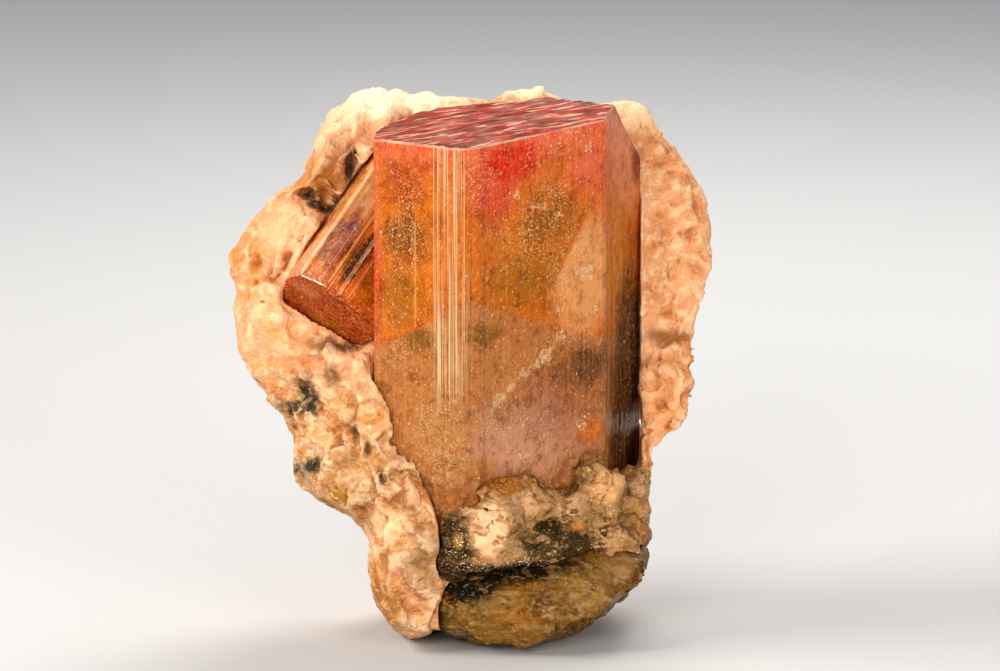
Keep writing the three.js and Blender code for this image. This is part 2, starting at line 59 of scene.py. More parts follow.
def camera():
    data = bpy.data.cameras.new("camera")
    data.sensor_width = SENSOR
    data.lens = SENSOR * VIEW_DISTANCE / VIEW_WIDTH
    data.clip_start, data.clip_end = 0.02, 20.0
    eye = bpy.data.objects.new("camera", data)
    bpy.context.scene.collection.objects.link(eye)
    rise = math.radians(VIEW_ELEVATION)
    back = Vector((0, -math.cos(rise), math.sin(rise)))
    eye.location = (Vector(VIEW_CENTRE) + back * VIEW_DISTANCE) * MM
    eye.rotation_euler = (-back).to_track_quat("-Z", "Y").to_euler()
    bpy.context.scene.camera = eye


camera()


# Repeatable noise, all from -1 to 1
def lattice(cell, seed):
    """One repeatable value for each whole-numbered cell."""
    i, j, k = (cell[..., n].astype(np.int64).astype(np.uint64) for n in range(3))
    mask = np.uint64(0xFFFFFFFF)
    h = i * np.uint64(374761393) + j * np.uint64(668265263) + k * np.uint64(1442695041)
    h = (h + np.uint64(seed * 7919)) & mask
    h = ((h ^ (h >> np.uint64(13))) * np.uint64(1274126177)) & mask
    h = ((h ^ (h >> np.uint64(16))) * np.uint64(2246822519)) & mask
    return (h ^ (h >> np.uint64(15))).astype(float) / 2147483648.0 - 1.0


def noise(points, size, seed=0):
    """Smooth noise with features of this size. size may be three sizes, for stretched features."""
    q = points / np.asarray(size, float)
    base = np.floor(q)
    f = q - base
    f = f * f * (3 - 2 * f)
    total = np.zeros(len(points))
    for corner in np.ndindex(2, 2, 2):
        share = np.prod(np.where(corner, f, 1 - f), axis=1)
        total += share * lattice(base + corner, seed)
    return total


def layered(points, size, layers=3, seed=0):
    return sum(0.5**n * noise(points, np.asarray(size) / 2**n, seed + n) for n in range(layers))


def shifts(points, size, seed):
    """Smooth noise for each of the three axes."""
    return np.stack([noise(points, size, seed + a) for a in range(3)], axis=1)


def tilts(cell, seed):
    """Three repeatable values for each cell."""
    return np.stack([lattice(cell, seed + a) for a in range(3)], axis=1)


def cells(points, size, seed=0):
    """How far the nearest two cell centres are, as shares of size, with the nearest centre and its cell."""
    q = points / size
    base = np.floor(q)
    near, second = np.full(len(q), 9.0), np.full(len(q), 9.0)
    centre, home = np.zeros_like(q), np.zeros_like(q)
    for step in np.ndindex(3, 3, 3):
        corner = base + np.array(step) - 1
        spot = corner + 0.5 + 0.45 * tilts(corner, seed)
        distance = np.linalg.norm(spot - q, axis=1)
        closer = distance < near
        second = np.where(closer, near, np.minimum(second, distance))
        near = np.where(closer, distance, near)
        centre[closer], home[closer] = spot[closer], corner[closer]
    return near, second, centre * size, home


def smoothstep(low, high, value):
    t = np.clip((value - low) / (high - low), 0, 1)
    return t * t * (3 - 2 * t)


# Meshes
def new_piece(name, points, faces):
    """A mesh piece from points in millimetres."""
    mesh = bpy.data.meshes.new(name)
    mesh.from_pydata((np.asarray(points) * MM).tolist(), [], faces)
    mesh.validate()
    mesh.polygons.foreach_set("use_smooth", [True] * len(mesh.polygons))
    piece = bpy.data.objects.new(name, mesh)
    bpy.context.scene.collection.objects.link(piece)
    return piece


def vertex_points(piece):
    points = np.zeros(len(piece.data.vertices) * 3)
    piece.data.vertices.foreach_get("co", points)
    return points.reshape(-1, 3) / MM


def vertex_normals(piece):
    normals = np.zeros(len(piece.data.vertices) * 3)
    piece.data.vertex_normals.foreach_get("vector", normals)
    return normals.reshape(-1, 3)


def move_vertices(piece, points):
    piece.data.vertices.foreach_set("co", (points * MM).ravel())
    piece.data.update()


def set_mask(piece, name, values):
    """A value from 0 to 1 at each point, for the material."""
    made = piece.data.attributes.new(name, "FLOAT", "POINT")
    made.data.foreach_set("value", np.clip(values, 0, 1))


def apply_modifiers(piece):
    ready = piece.evaluated_get(bpy.context.evaluated_depsgraph_get())
    old = piece.data
    piece.data = bpy.data.meshes.new_from_object(ready)
    piece.modifiers.clear()
    bpy.data.meshes.remove(old)


def relaxed(piece, points, rounds):
    """The points, each moved towards its neighbours' mean this many times."""
    edges = np.zeros(len(piece.data.edges) * 2, int)
    piece.data.edges.foreach_get("vertices", edges)
    a, b = edges.reshape(-1, 2).T
    count = np.bincount(edges, minlength=len(points))[:, None]
    for _ in range(rounds):
        total = np.zeros_like(points)
        for axis in range(3):
            for here, there in ((a, b), (b, a)):
                total[:, axis] += np.bincount(here, points[there, axis], len(points))
        points = 0.5 * points + 0.5 * total / count
    return points


def drop_crumbs(piece):
    """Keeps the largest of the mesh's separate bodies."""
    edges = np.zeros(len(piece.data.edges) * 2, int)
    piece.data.edges.foreach_get("vertices", edges)
    a, b = edges.reshape(-1, 2).T
    body = np.arange(len(piece.data.vertices))
    while True:
        lower = np.minimum(body[a], body[b])
        after = body.copy()
        np.minimum.at(after, a, lower)
        np.minimum.at(after, b, lower)
        after = after[after]
        if (after == body).all():
            break
        body = after
    largest = np.bincount(body).argmax()
    mesh = bmesh.new()
    mesh.from_mesh(piece.data)
    mesh.verts.ensure_lookup_table()
    bmesh.ops.delete(
        mesh, geom=[mesh.verts[n] for n in np.flatnonzero(body != largest)], context="VERTS"
    )
    mesh.to_mesh(piece.data)
    mesh.free()


def towards_view(normals):
    """How squarely each normal faces the camera or away from it, from 0 to 1."""
    rise = math.radians(VIEW_ELEVATION)
    return np.abs(normals @ np.array((0, -math.cos(rise), math.sin(rise))))


def remeshed(name, node_name, voxel, rounds):
    """A fine copy of a CAD node's shape, in even facets."""
    piece = bpy.data.objects.new(name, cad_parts[node_name].data.copy())
    bpy.context.scene.collection.objects.link(piece)
    piece.data.materials.clear()
    remesh = piece.modifiers.new("even facets", "REMESH")
    remesh.mode = "VOXEL"
    remesh.voxel_size = voxel * MM
    apply_modifiers(piece)
    drop_crumbs(piece)
    piece.data.polygons.foreach_set("use_smooth", [True] * len(piece.data.polygons))
    move_vertices(piece, relaxed(piece, vertex_points(piece), rounds))
    return piece


def clearance(points, *node_names):
    """How far each point is from the nearest of these CAD nodes, in millimetres."""
    nearest = np.full(len(points), np.inf)
    for node_name in node_names:
        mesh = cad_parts[node_name].data
        tree = BVHTree.FromPolygons([v.co for v in mesh.vertices], [p.vertices for p in mesh.polygons])
        found = [tree.find_nearest(Vector(p * MM), 0.01)[3] for p in points]
        nearest = np.minimum(nearest, [10.0 if d is None else d / MM for d in found])
    return nearest


def finish_piece(piece, slot_name, *node_names):
    """Rides the piece on the specimen, in place of CAD nodes where it has any, and hides those nodes;
    slot_name is not used.
    """
    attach(piece, "root")
    if node_names:
        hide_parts(*node_names)


# Shader tools
def shader(tree, kind, inputs=(), **settings):
    made = tree.nodes.new(f"ShaderNode{kind}")
    for key, value in settings.items():
        setattr(made, key, value)
    for key, value in dict(inputs).items():
        if isinstance(value, bpy.types.NodeSocket):
            tree.links.new(value, made.inputs[key])
        else:
            made.inputs[key].default_value = value
    return made


def maths(tree, operation, a, b=0.0, clamp=False):
    return shader(tree, "Math", {0: a, 1: b}, operation=operation, use_clamp=clamp).outputs[0]


def times(tree, a, b):
    return maths(tree, "MULTIPLY", a, b)


def blended(tree, share, a, b, blend="MIX"):
    made = shader(
        tree, "Mix", {0: share, 6: a, 7: b}, data_type="RGBA", blend_type=blend, clamp_factor=True
    )
    return made.outputs[2]


def stepped(tree, value, low, high, to_low=0.0, to_high=1.0):
    inputs = {"Value": value, "From Min": low, "From Max": high, "To Min": to_low, "To Max": to_high}
    return shader(tree, "MapRange", inputs, interpolation_type="SMOOTHSTEP").outputs[0]


def colour(red, green, blue):
    return (red, green, blue, 1.0)


def tinted(tree, tint, over, mask, share=1.0):
    """The tint with a colour laid over it where the mask is, by this share."""
    if share != 1.0:
        mask = times(tree, mask, share)
    return blended(tree, mask, tint, colour(*over))


def surface_noise(tree, position, scale, detail=2.0, roughness=0.5):
    inputs = {"Vector": position, "Scale": scale, "Detail": detail, "Roughness": roughness}
    return shader(tree, "TexNoise", inputs).outputs[0]


def mesh_mask(tree, name):
    """A mask that the mesh holds at its points."""
    return shader(tree, "Attribute", attribute_name=name).outputs["Fac"]


def finished(tree, principled, tint, roughness=None):
    tree.links.new(tint, principled.inputs["Base Color"])
    if roughness is not None:
        tree.links.new(roughness, principled.inputs["Roughness"])


def group(name, inputs, outputs):
    """A node group, with the sockets that its effect reads and gives. Each input is written as a kind, or
    as a value, whose kind follows from it."""
    tree = bpy.data.node_groups.new(name, "ShaderNodeTree")
    for label, value in inputs.items():
        kind = value if isinstance(value, str) else "Float" if isinstance(value, float) else "Color"
        socket = tree.interface.new_socket(name=label, in_out="INPUT", socket_type=f"NodeSocket{kind}")
        if value != kind:
            socket.default_value = value
    for label, kind in outputs.items():
        tree.interface.new_socket(name=label, in_out="OUTPUT", socket_type=f"NodeSocket{kind}")
    return tree, tree.nodes.new("NodeGroupInput").outputs, tree.nodes.new("NodeGroupOutput").inputs


def placed(tree, effect, inputs):
    made = tree.nodes.new("ShaderNodeGroup")
    made.node_tree = effect
    for key, value in inputs.items():
        if isinstance(value, bpy.types.NodeSocket):
            tree.links.new(value, made.inputs[key])
        else:
            made.inputs[key].default_value = value
    return made.outputs


def vector(tree, operation, a, b=(0, 0, 0), output=0):
    return shader(tree, "VectorMath", {0: a, 1: b}, operation=operation).outputs[output]


WHITE = colour(1, 1, 1)


def colour_spot():
    """Tints an egg-shaped region, with a soft edge that a cloud value makes waver."""
    inputs = {
        "Colour": WHITE, "Spot Colour": colour(1, 0, 0), "Position": "Vector", "Cloud": 0.5,
        "Centre": "Vector", "Size": "Vector", "Softness": 0.4, "Waver": 0.3, "Strength": 1.0,
    }
    tree, get, give = group("colour spot", inputs, {"Colour": "Color", "Mask": "Float"})
    offset = vector(tree, "SUBTRACT", get["Position"], get["Centre"])
    far = vector(tree, "LENGTH", vector(tree, "DIVIDE", offset, get["Size"]), output="Value")
    waver = times(tree, maths(tree, "SUBTRACT", get["Cloud"], 0.5), get["Waver"])
    far = maths(tree, "ADD", far, waver)
    outside = stepped(tree, far, maths(tree, "SUBTRACT", 1.0, get["Softness"]), 1.0)
    mask = times(tree, maths(tree, "SUBTRACT", 1.0, outside), get["Strength"])
    tree.links.new(blended(tree, mask, get["Colour"], get["Spot Colour"]), give["Colour"])
    tree.links.new(mask, give["Mask"])
    return tree


def mineral_grain():
    """Fine and coarse colour variation of a broken mineral surface, with a height for its bumps."""
    inputs = {
        "Colour": WHITE, "Pale Colour": WHITE, "Dark Colour": colour(0, 0, 0), "Scale": 400.0,
        "Pale Share": 0.4, "Dark Share": 0.3,
    }
    tree, get, give = group("mineral grain", inputs, {"Colour": "Color", "Height": "Float"})
    position = shader(tree, "TexCoord").outputs["Object"]
    broad = surface_noise(tree, position, get["Scale"], 4.0, 0.6)
    fine = surface_noise(tree, position, times(tree, get["Scale"], 5.0), 3.0)
    crystals = {"Vector": position, "Scale": times(tree, get["Scale"], 3.0)}
    facet = shader(tree, "TexVoronoi", crystals).outputs["Distance"]
    pale = times(tree, stepped(tree, broad, 0.48, 0.68), get["Pale Share"])
    dark = times(tree, stepped(tree, fine, 0.58, 0.74), get["Dark Share"])
    paler = blended(tree, pale, get["Colour"], get["Pale Colour"])
    tree.links.new(blended(tree, dark, paler, get["Dark Colour"]), give["Colour"])
    bump = maths(tree, "ADD", broad, times(tree, fine, 0.5))
    tree.links.new(maths(tree, "ADD", times(tree, facet, 0.6), bump), give["Height"])
    return tree


def long_grooves():
    """Grooves that run along one axis of a position: a mask of bright lines and a height."""
    inputs = {"Position": "Vector", "Size": "Vector"}
    tree, get, give = group("long grooves", inputs, {"Lines": "Float", "Height": "Float"})
    place = vector(tree, "DIVIDE", get["Position"], get["Size"])
    lines = surface_noise(tree, place, 1.0, 2.0, 0.6)
    tree.links.new(stepped(tree, lines, 0.53, 0.62), give["Lines"])
    tree.links.new(lines, give["Height"])
    return tree


def inclusion_flecks():
    """Slivers and grains that catch the light: a mask of the crests of a fine, drawn-out noise."""
    inputs = {"Position": "Vector", "Size": "Vector", "Turn": "Vector", "Share": 0.3}
    tree, get, give = group("inclusion flecks", inputs, {"Mask": "Float"})
    turned = {"Vector": get["Position"], "Scale": get["Size"], "Rotation": get["Turn"]}
    place = shader(tree, "Mapping", turned, vector_type="TEXTURE").outputs[0]
    crest = surface_noise(tree, place, 1.0, 1.0, 0.6)
    start = shader(tree, "MapRange", {"Value": get["Share"], "To Min": 0.78, "To Max": 0.36}).outputs[0]
    tree.links.new(stepped(tree, crest, start, maths(tree, "ADD", start, 0.07)), give["Mask"])
    return tree


def zone_edge():
    """A wavering plane between two growth zones: a mask beyond it and a mask along it."""
    inputs = {
        "Position": "Vector", "Cloud": 0.5, "Point": "Vector", "Normal": "Vector", "Softness": 0.0005,
        "Waver": 0.001,
    }
    tree, get, give = group("zone edge", inputs, {"Beyond": "Float", "Along": "Float"})
    offset = vector(tree, "SUBTRACT", get["Position"], get["Point"])
    far = vector(tree, "DOT_PRODUCT", offset, get["Normal"], output="Value")
    waver = times(tree, maths(tree, "SUBTRACT", get["Cloud"], 0.5), get["Waver"])
    far = maths(tree, "ADD", far, waver)
    before = times(tree, get["Softness"], -1.0)
    tree.links.new(stepped(tree, far, before, get["Softness"]), give["Beyond"])
    near = maths(tree, "ABSOLUTE", far)
    tree.links.new(stepped(tree, near, 0.0, get["Softness"], 1.0, 0.0), give["Along"])
    return tree


def cloudy_depth():
    """Cloudy, veined colour of a flawed gem: the colour, deepened and lightened in layers."""
    inputs = {
        "Colour": WHITE, "Deep Colour": colour(0.5, 0.3, 0.2), "Light Colour": colour(1, 0.8, 0.6),
        "Position": "Vector", "Scale": 300.0, "Deepening": 0.7, "Lightening": 0.4,
    }
    tree, get, give = group("cloudy depth", inputs, {"Colour": "Color"})
    broad = surface_noise(tree, get["Position"], get["Scale"], 6.0, 0.7)
    fine = surface_noise(tree, get["Position"], times(tree, get["Scale"], 4.3), 5.0, 0.75)
    deep = times(tree, stepped(tree, broad, 0.52, 0.36), get["Deepening"])
    light = times(tree, stepped(tree, fine, 0.50, 0.66), get["Lightening"])
    darkened = blended(tree, deep, get["Colour"], get["Deep Colour"], "MULTIPLY")
    tree.links.new(blended(tree, light, darkened, get["Light Colour"]), give["Colour"])
    return tree


def glassy_shards():
    """Painted highlights and painted shade in splinters, as where each piece of broken glass turns the
    light its own way.
    """
    tree, get, give = group(
        "glassy shards", {"Position": "Vector", "Size": "Vector"}, {"Value": "Float"}
    )
    place = vector(tree, "DIVIDE", get["Position"], get["Size"])
    bend = shader(tree, "TexNoise", {"Vector": place, "Scale": 0.9, "Detail": 2.0}).outputs["Color"]
    bent = vector(tree, "ADD", place, bend)
    coarse = shader(tree, "TexVoronoi", {"Vector": bent, "Scale": 1.0}).outputs["Color"]
    fine = shader(tree, "TexVoronoi", {"Vector": bent, "Scale": 3.1}).outputs["Color"]
    coarse = times(tree, shader(tree, "SeparateColor", {0: coarse}).outputs[0], 0.55)
    fine = times(tree, shader(tree, "SeparateColor", {0: fine}).outputs[1], 0.45)
    tree.links.new(maths(tree, "ADD", coarse, fine), give["Value"])
    return tree


COLOUR_SPOT = colour_spot()
MINERAL_GRAIN = mineral_grain()
LONG_GROOVES = long_grooves()
INCLUSION_FLECKS = inclusion_flecks()
ZONE_EDGE = zone_edge()
CLOUDY_DEPTH = cloudy_depth()
GLASSY_SHARDS = glassy_shards()


def new_material(name, **plain):
    """A Principled material with these plain values, its tree and its shader."""
    material = bpy.data.materials.new(name)
    material.use_nodes = True
    principled = material.node_tree.nodes["Principled BSDF"]
    for label, value in plain.items():
        principled.inputs[label.replace("_", " ")].default_value = value
    return material, material.node_tree, principled


def clouds(tree, position, scale=300.0):
    """The cloud value that makes the edges of a material's colour spots waver."""
    return surface_noise(tree, position, scale, 3.0)


def spotted(tree, base, position, cloud, spots):
    """The base colour with each spot laid over it. A spot is a centre and a size in millimetres, a colour,
    and how soft, wavering and strong it is."""
    for centre, size, tint, softness, waver, strength in spots:
        inputs = {
            "Colour": base, "Spot Colour": colour(*tint), "Position": position, "Cloud": cloud,
            "Centre": [c * MM for c in centre], "Size": [s * MM for s in size], "Softness": softness,
            "Waver": waver, "Strength": strength,
        }
        base = placed(tree, COLOUR_SPOT, inputs)["Colour"]
    return base


def shards(tree, position, size):
    return placed(tree, GLASSY_SHARDS, {"Position": position, "Size": [c * MM for c in size]})["Value"]


def splintered(tree, tint, value, dark, light, dark_tint, light_tint):
    """The tint, with painted shade in the dark splinters and painted highlights in the bright ones."""
    deep = times(tree, stepped(tree, value, 0.48, 0.14), dark)
    tint = blended(tree, deep, tint, colour(*dark_tint), "MULTIPLY")
    return tinted(tree, tint, light_tint, stepped(tree, value, 0.66, 0.92), light)


def bumped(tree, principled, height, strength, distance):
    bump = shader(tree, "Bump", {"Height": height, "Strength": strength, "Distance": distance * MM})
    tree.links.new(bump.outputs[0], principled.inputs["Normal"])


# Prisms
def resampled(section, spacing, fine_spacing, is_fine):
    """The closed section with points at even steps, finer where is_fine says so."""
    points = []
    for n, start in enumerate(section):
        start, end = np.array(start, float), np.array(section[(n + 1) % len(section)], float)
        step = fine_spacing if is_fine(*(start + end) / 2) else spacing
        count = max(1, round(np.linalg.norm(end - start) / step))
        points += [start + (end - start) * k / count for k in range(count)]
    return np.array(points)


def outward(section):
    """The section's outward normals."""
    along = np.roll(section, -1, axis=0) - np.roll(section, 1, axis=0)
    normal = np.stack([along[:, 1], -along[:, 0]], axis=1)
    return normal / np.linalg.norm(normal, axis=1)[:, None]


def inside(section, points, margin):
    """Which points are inside the section by a margin."""
    x, y = points.T
    result = np.zeros(len(points), bool)
    clear = np.full(len(points), np.inf)
    for a, b in zip(section, np.roll(section, -1, axis=0)):
        if a[1] != b[1]:
            crossing = ((a[1] > y) != (b[1] > y)) & (
                x < (b[0] - a[0]) * (y - a[1]) / (b[1] - a[1]) + a[0]
            )
            result ^= crossing
        along = np.clip(((points - a) @ (b - a)) / ((b - a) @ (b - a)), 0, 1)
        clear = np.minimum(clear, np.linalg.norm(points - a - along[:, None] * (b - a), axis=1))
    return result & (clear > margin)


def end_cap(section, height, turn, steps, edge=()):
    """Points inside the section on a turned grid, and the triangles that join them to it, as a surface of
    this height. edge is a line of points that the triangles keep to."""
    reach = np.abs(section).max() * 1.5
    u, v = np.meshgrid(np.arange(-reach, reach, steps[0]), np.arange(-reach, reach, steps[1]))
    c, s = math.cos(turn), math.sin(turn)
    grid = np.stack([u.ravel() * c - v.ravel() * s, u.ravel() * s + v.ravel() * c], axis=1)
    grid = grid[inside(section, grid, min(steps) * 0.6)]
    edge = np.array(edge).reshape(-1, 2)
    if len(edge):
        edge = edge[inside(section, edge, min(steps))]
        far = np.min([np.linalg.norm(grid - e, axis=1) for e in edge], axis=0)
        grid = grid[far > min(steps) * 0.6]
    flat = np.concatenate([section, grid, edge])
    loop = list(range(len(section)))
    made = delaunay_2d_cdt([Vector(p) for p in flat], [], [loop], 1, 1e-6)
    order = [ids[0] for ids in made[3]]
    faces = [[order[i] for i in face] for face in made[2]]
    return np.column_stack([flat, height(flat)])[len(section):], faces


def prism_piece(name, section, rows, top, bottom, relief, placement, cap_turn, cap_steps, edge=()):
    """A closed prism. rows are shares of the height, relief(points, normals) moves the sides outwards.
    The mask "end" is 1 inside the end face."""
    normal = outward(section)
    low, high = bottom(section), top(section)
    rings = []
    for share in rows:
        z = low + (high - low) * share
        ring = np.column_stack([section, z])
        push = relief(ring, normal)
        fade = smoothstep(0, 0.6, high - z) * smoothstep(0, 0.6, z - low)
        rings.append(np.column_stack([section + normal * (push * fade)[:, None], z]))
    count, height = len(section), len(rings)
    points = np.concatenate(rings)
    faces = [
        [
            r * count + i, r * count + (i + 1) % count, (r + 1) * count + (i + 1) % count,
            (r + 1) * count + i
        ]
        for r in range(height - 1) for i in range(count)
    ]
    for ring, surface, steps, line in ((height - 1, top, cap_steps, edge), (0, bottom, (1.0, 1.0), ())):
        flat = rings[ring][:, :2]
        extra, triangles = end_cap(flat, surface, cap_turn, steps, line)
        start = len(points)
        places = [ring * count + i for i in range(count)] + [start + i for i in range(len(extra))]
        turned = triangles if ring else [face[::-1] for face in triangles]
        faces += [[places[i] for i in face] for face in turned]
        points = np.concatenate([points, extra])
        if ring:
            end = np.arange(start, len(points))
    world = points @ np.array(placement.to_3x3()).T + np.array(placement.translation)
    piece = new_piece(name, world, faces)
    set_mask(piece, "end", np.isin(np.arange(len(points)), end).astype(float))
    return piece


# Main prism, in its own frame: x across, y back from the front edge, z along its length
MAIN_SECTION = [
    (-11.75, 4.3), (-8.2, 2.7), (-4.9, 1.35), (-3.9, 0.72), (-3.2, 0.55), (-2.6, 0.2), (-1.8, 0.12),
    (-1.1, -0.02), (-0.2, 0.02), (0.5, 0.3), (1.1, 0.55), (1.8, 1.2), (7, 5.4), (12, 9.5), (16.4, 13.1),
    (16.9, 13.7), (17.3, 16.6), (17.9, 19.6), (19.4, 23.6), (21.4, 28), (18.5, 29.4), (13, 26.4),
    (6.5, 21.9), (1, 20.6), (-3.75, 18.8), (-8.75, 13.7), (-11.4, 8),
]
MAIN_LENGTH = 55.0
MAIN_LEAN = math.radians(5)
BEVEL_POINT = (17.9, 19.8)
BEVEL_DIP = math.radians(46)
BEVEL_HEADING = math.radians(65)
END_RIDGE_TURN = math.radians(33)


def main_placement():
    """Where the CAD holds the main prism."""
    low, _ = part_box("main_crystal")
    section = np.array(MAIN_SECTION)
    x = low.x / MM - section[:, 0].min()
    y = low.y / MM + MAIN_LENGTH * math.sin(MAIN_LEAN) - section[:, 1].min() * math.cos(MAIN_LEAN)
    return Matrix.Translation((x, y, low.z / MM)) @ Matrix.Rotation(MAIN_LEAN, 4, "X")


def end_ridges(flat):
    """Low braided ridges on the end face, nearly in line with the front right side."""
    c, s = math.cos(END_RIDGE_TURN), math.sin(END_RIDGE_TURN)
    along, across = flat[:, 0] * c + flat[:, 1] * s, flat[:, 1] * c - flat[:, 0] * s
    place = np.column_stack(
        [
            along, across + 0.5 * noise(np.column_stack([along, across, 0 * along]), (9, 2.4, 1), 71),
            0 * along
        ]
    )
    ridge = 1 - np.abs(noise(place, (7, 0.62, 1), 72))
    fine = 1 - np.abs(noise(place, (4, 0.3, 1), 73))
    return 0.2 * ridge**3 + 0.08 * fine**2


def main_top(flat):
    heading = np.array([math.cos(BEVEL_HEADING), math.sin(BEVEL_HEADING)])
    bevel = MAIN_LENGTH - math.tan(BEVEL_DIP) * ((flat - np.array(BEVEL_POINT)) @ heading)
    return np.minimum(MAIN_LENGTH - 0.2 + end_ridges(flat), bevel)


def main_bottom(flat):
    return 0.4 + 0.5 * noise(np.column_stack([flat, 0 * flat[:, 0]]), 3.0, 74)


def bevel_edge():
    """The line where the bevel meets the end face."""
    heading = Vector((-math.sin(BEVEL_HEADING), math.cos(BEVEL_HEADING)))
    return [Vector(BEVEL_POINT) + heading * (0.3 * n) for n in range(-40, 41)]


def stria_relief(points, seed, spacing, depth):
    """Lengthwise grooves that start and stop along the prism."""
    flat = np.column_stack([points[:, :2], points[:, 2] * 0])
    fixed = noise(flat, spacing, seed) + 0.6 * noise(flat, spacing * 2.7, seed + 1)
    starting = noise(points, (spacing, spacing, 9.0), seed + 2)
    return depth * (0.6 * fixed + 0.7 * starting)


def main_relief(points, normal):
    x, y, z = points.T
    front = smoothstep(-5.6, -4.4, x) * smoothstep(2.6, 1.4, x) * (y < 4)
    relief = stria_relief(points, 75, 0.42, 0.05) * (1 - front)
    relief += stria_relief(points, 79, 0.36, 0.14) * front
    relief += 0.08 * noise(points, (2.2, 2.2, 26), 83)
    pebbled = smoothstep(
        1.0, 0.7, np.hypot((x + 3.6) / 5.2, (z - 15.5) / 9.5) + 0.2 * noise(points, 2.5, 84)
    ) * (y < 4)
    near, _, _, _ = cells(points, 0.85, 85)
    relief += pebbled * (0.12 - 0.42 * near**2)
    broken = smoothstep(12.6, 10.6, z + 1.2 * noise(points, 3, 86)) * (y < 16)
    _, _, centre, home = cells(points, 2.6, 87)
    tilt = tilts(home, 90)
    relief += broken * (-0.35 + 0.22 * np.sum(tilt * (points - centre), axis=1))
    lip = np.exp(-(((z - 1.2) / 0.9) ** 2)) * (y < 12)
    return relief + 0.5 * lip * (1 + 0.5 * noise(points, 2.0, 88))


def main_prism():
    section = resampled(MAIN_SECTION, 0.27, 0.13, lambda x, y: -5.2 < x < 2.2 and y < 2)
    rows = np.linspace(0, 1, 176)
    return prism_piece(
        "rubellite_prism", section, rows, main_top, main_bottom, main_relief, main_placement(),
        END_RIDGE_TURN, (0.42, 0.17), bevel_edge(),
    )


# Small prism, in its own frame: x across, y out towards the viewer, z from its root to its tip
SIDE_SECTION = [
    (-6.1, -0.6), (-6, 1.6), (-5.4, 3.5), (-2.8, 5.1), (-2, 5.2), (-1.6, 4.4), (-0.6, 4.6), (-0.2, 5.7),
    (1, 5.1), (5.9, 4.6), (6.7, 2), (6.5, -1.1), (3.4, -5.2), (-0.6, -7.4), (-4, -5.2),
]
SIDE_LENGTH = 25.0
SIDE_TIP = (-18.16, -7, 41.9)
SIDE_PITCH = math.radians(52)
SIDE_FORWARD = math.radians(35.7)


def side_placement():
    """Across, outwards and along for the small prism, from its root."""
    along = Vector((
        -math.cos(SIDE_PITCH) * math.cos(SIDE_FORWARD), -math.sin(SIDE_FORWARD),
        -math.sin(SIDE_PITCH) * math.cos(SIDE_FORWARD),
    ))
    across = Vector((math.sin(SIDE_PITCH), 0, -math.cos(SIDE_PITCH)))
    turned = Matrix((across, along.cross(across), along)).transposed().to_4x4()
    return Matrix.Translation(Vector(SIDE_TIP) - along * SIDE_LENGTH) @ turned


def side_top(flat):
    spots = np.column_stack([flat, 0 * flat[:, 0]])
    near, _, _, _ = cells(spots, 1.6, 101)
    return SIDE_LENGTH - 0.3 + 0.25 * (0.6 - near) + 0.12 * noise(spots, 0.5, 102)


def side_bottom(flat):
    return 0 * flat[:, 0]


def side_relief(points, normal):
    window = np.exp(-(((points[:, 0] + 1.1) / 0.5) ** 2)) * (points[:, 1] > 3) * smoothstep(
        9, 11, points[:, 2]
    )
    return stria_relief(points, 105, 0.4, 0.05) - 0.4 * window * smoothstep(24, 22.6, points[:, 2])


def side_prism():
    section = resampled(SIDE_SECTION, 0.24, 0.24, lambda x, y: False)
    piece = prism_piece(
        "small_prism", section, np.linspace(0, 1, 90), side_top, side_bottom, side_relief,
        side_placement(), 0.3, (0.3, 0.3),
    )
    cutter = bpy.data.objects.new("cutter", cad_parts["main_crystal"].data.copy())
    bpy.context.scene.collection.objects.link(cutter)
    grow = cutter.modifiers.new("room", "DISPLACE")
    grow.strength, grow.mid_level = 0.2 * MM, 0.0
    cut = piece.modifiers.new("cut", "BOOLEAN")
    cut.operation, cut.solver, cut.object = "DIFFERENCE", "MANIFOLD", cutter
    apply_modifiers(piece)
    bpy.data.objects.remove(cutter)
    piece.data.materials.clear()
    return piece


# Feldspar, crust and foot
def broken_faces(points, size, seed):
    """A surface of small flat faces, each tilted its own way."""
    near, second, centre, home = cells(points, size, seed)
    tilt = tilts(home, seed + 11)
    return np.sum(tilt * (points - centre), axis=1) / size, second - near


def flattened(points, normals, home, share, seed, tilt=0.25, reach=1.2):
    """How far each point moves to lie on the flat face of the broken block that it belongs to."""
    _, member = np.unique(home, axis=0, return_inverse=True)
    member = member.ravel()
    count = np.bincount(member)
    middle = np.stack([np.bincount(member, points[:, a]) / count for a in range(3)], axis=1)[member]
    facing = np.stack([np.bincount(member, normals[:, a]) / count for a in range(3)], axis=1)[member]
    facing += tilt * tilts(home, seed)
    facing /= np.linalg.norm(facing, axis=1)[:, None] + 1e-6
    height = np.clip(np.sum((points - middle) * facing, axis=1), -reach, reach)
    return -facing * (share * height)[:, None]


def soft_lumps(points, size, seed):
    """Rounded lumps that run into one another, from about -0.3 in a hollow to 0.2 on a lump."""
    q = points / size
    base = np.floor(q)
    total = np.zeros(len(q))
    for step in np.ndindex(3, 3, 3):
        corner = base + np.array(step) - 1
        spot = corner + 0.5 + 0.45 * tilts(corner, seed)
        total += np.exp(-9 * np.sum((spot - q) ** 2, axis=1))
    return 0.2 + np.log(total) / 9


def hollows(piece, points, normals, rounds, scale):
    """How deep each point lies in a hollow, from 0 on a ridge to 1 in a crack."""
    smooth = relaxed(piece, points, rounds)
    return 0.5 + np.sum((smooth - points) * normals, axis=1) / scale


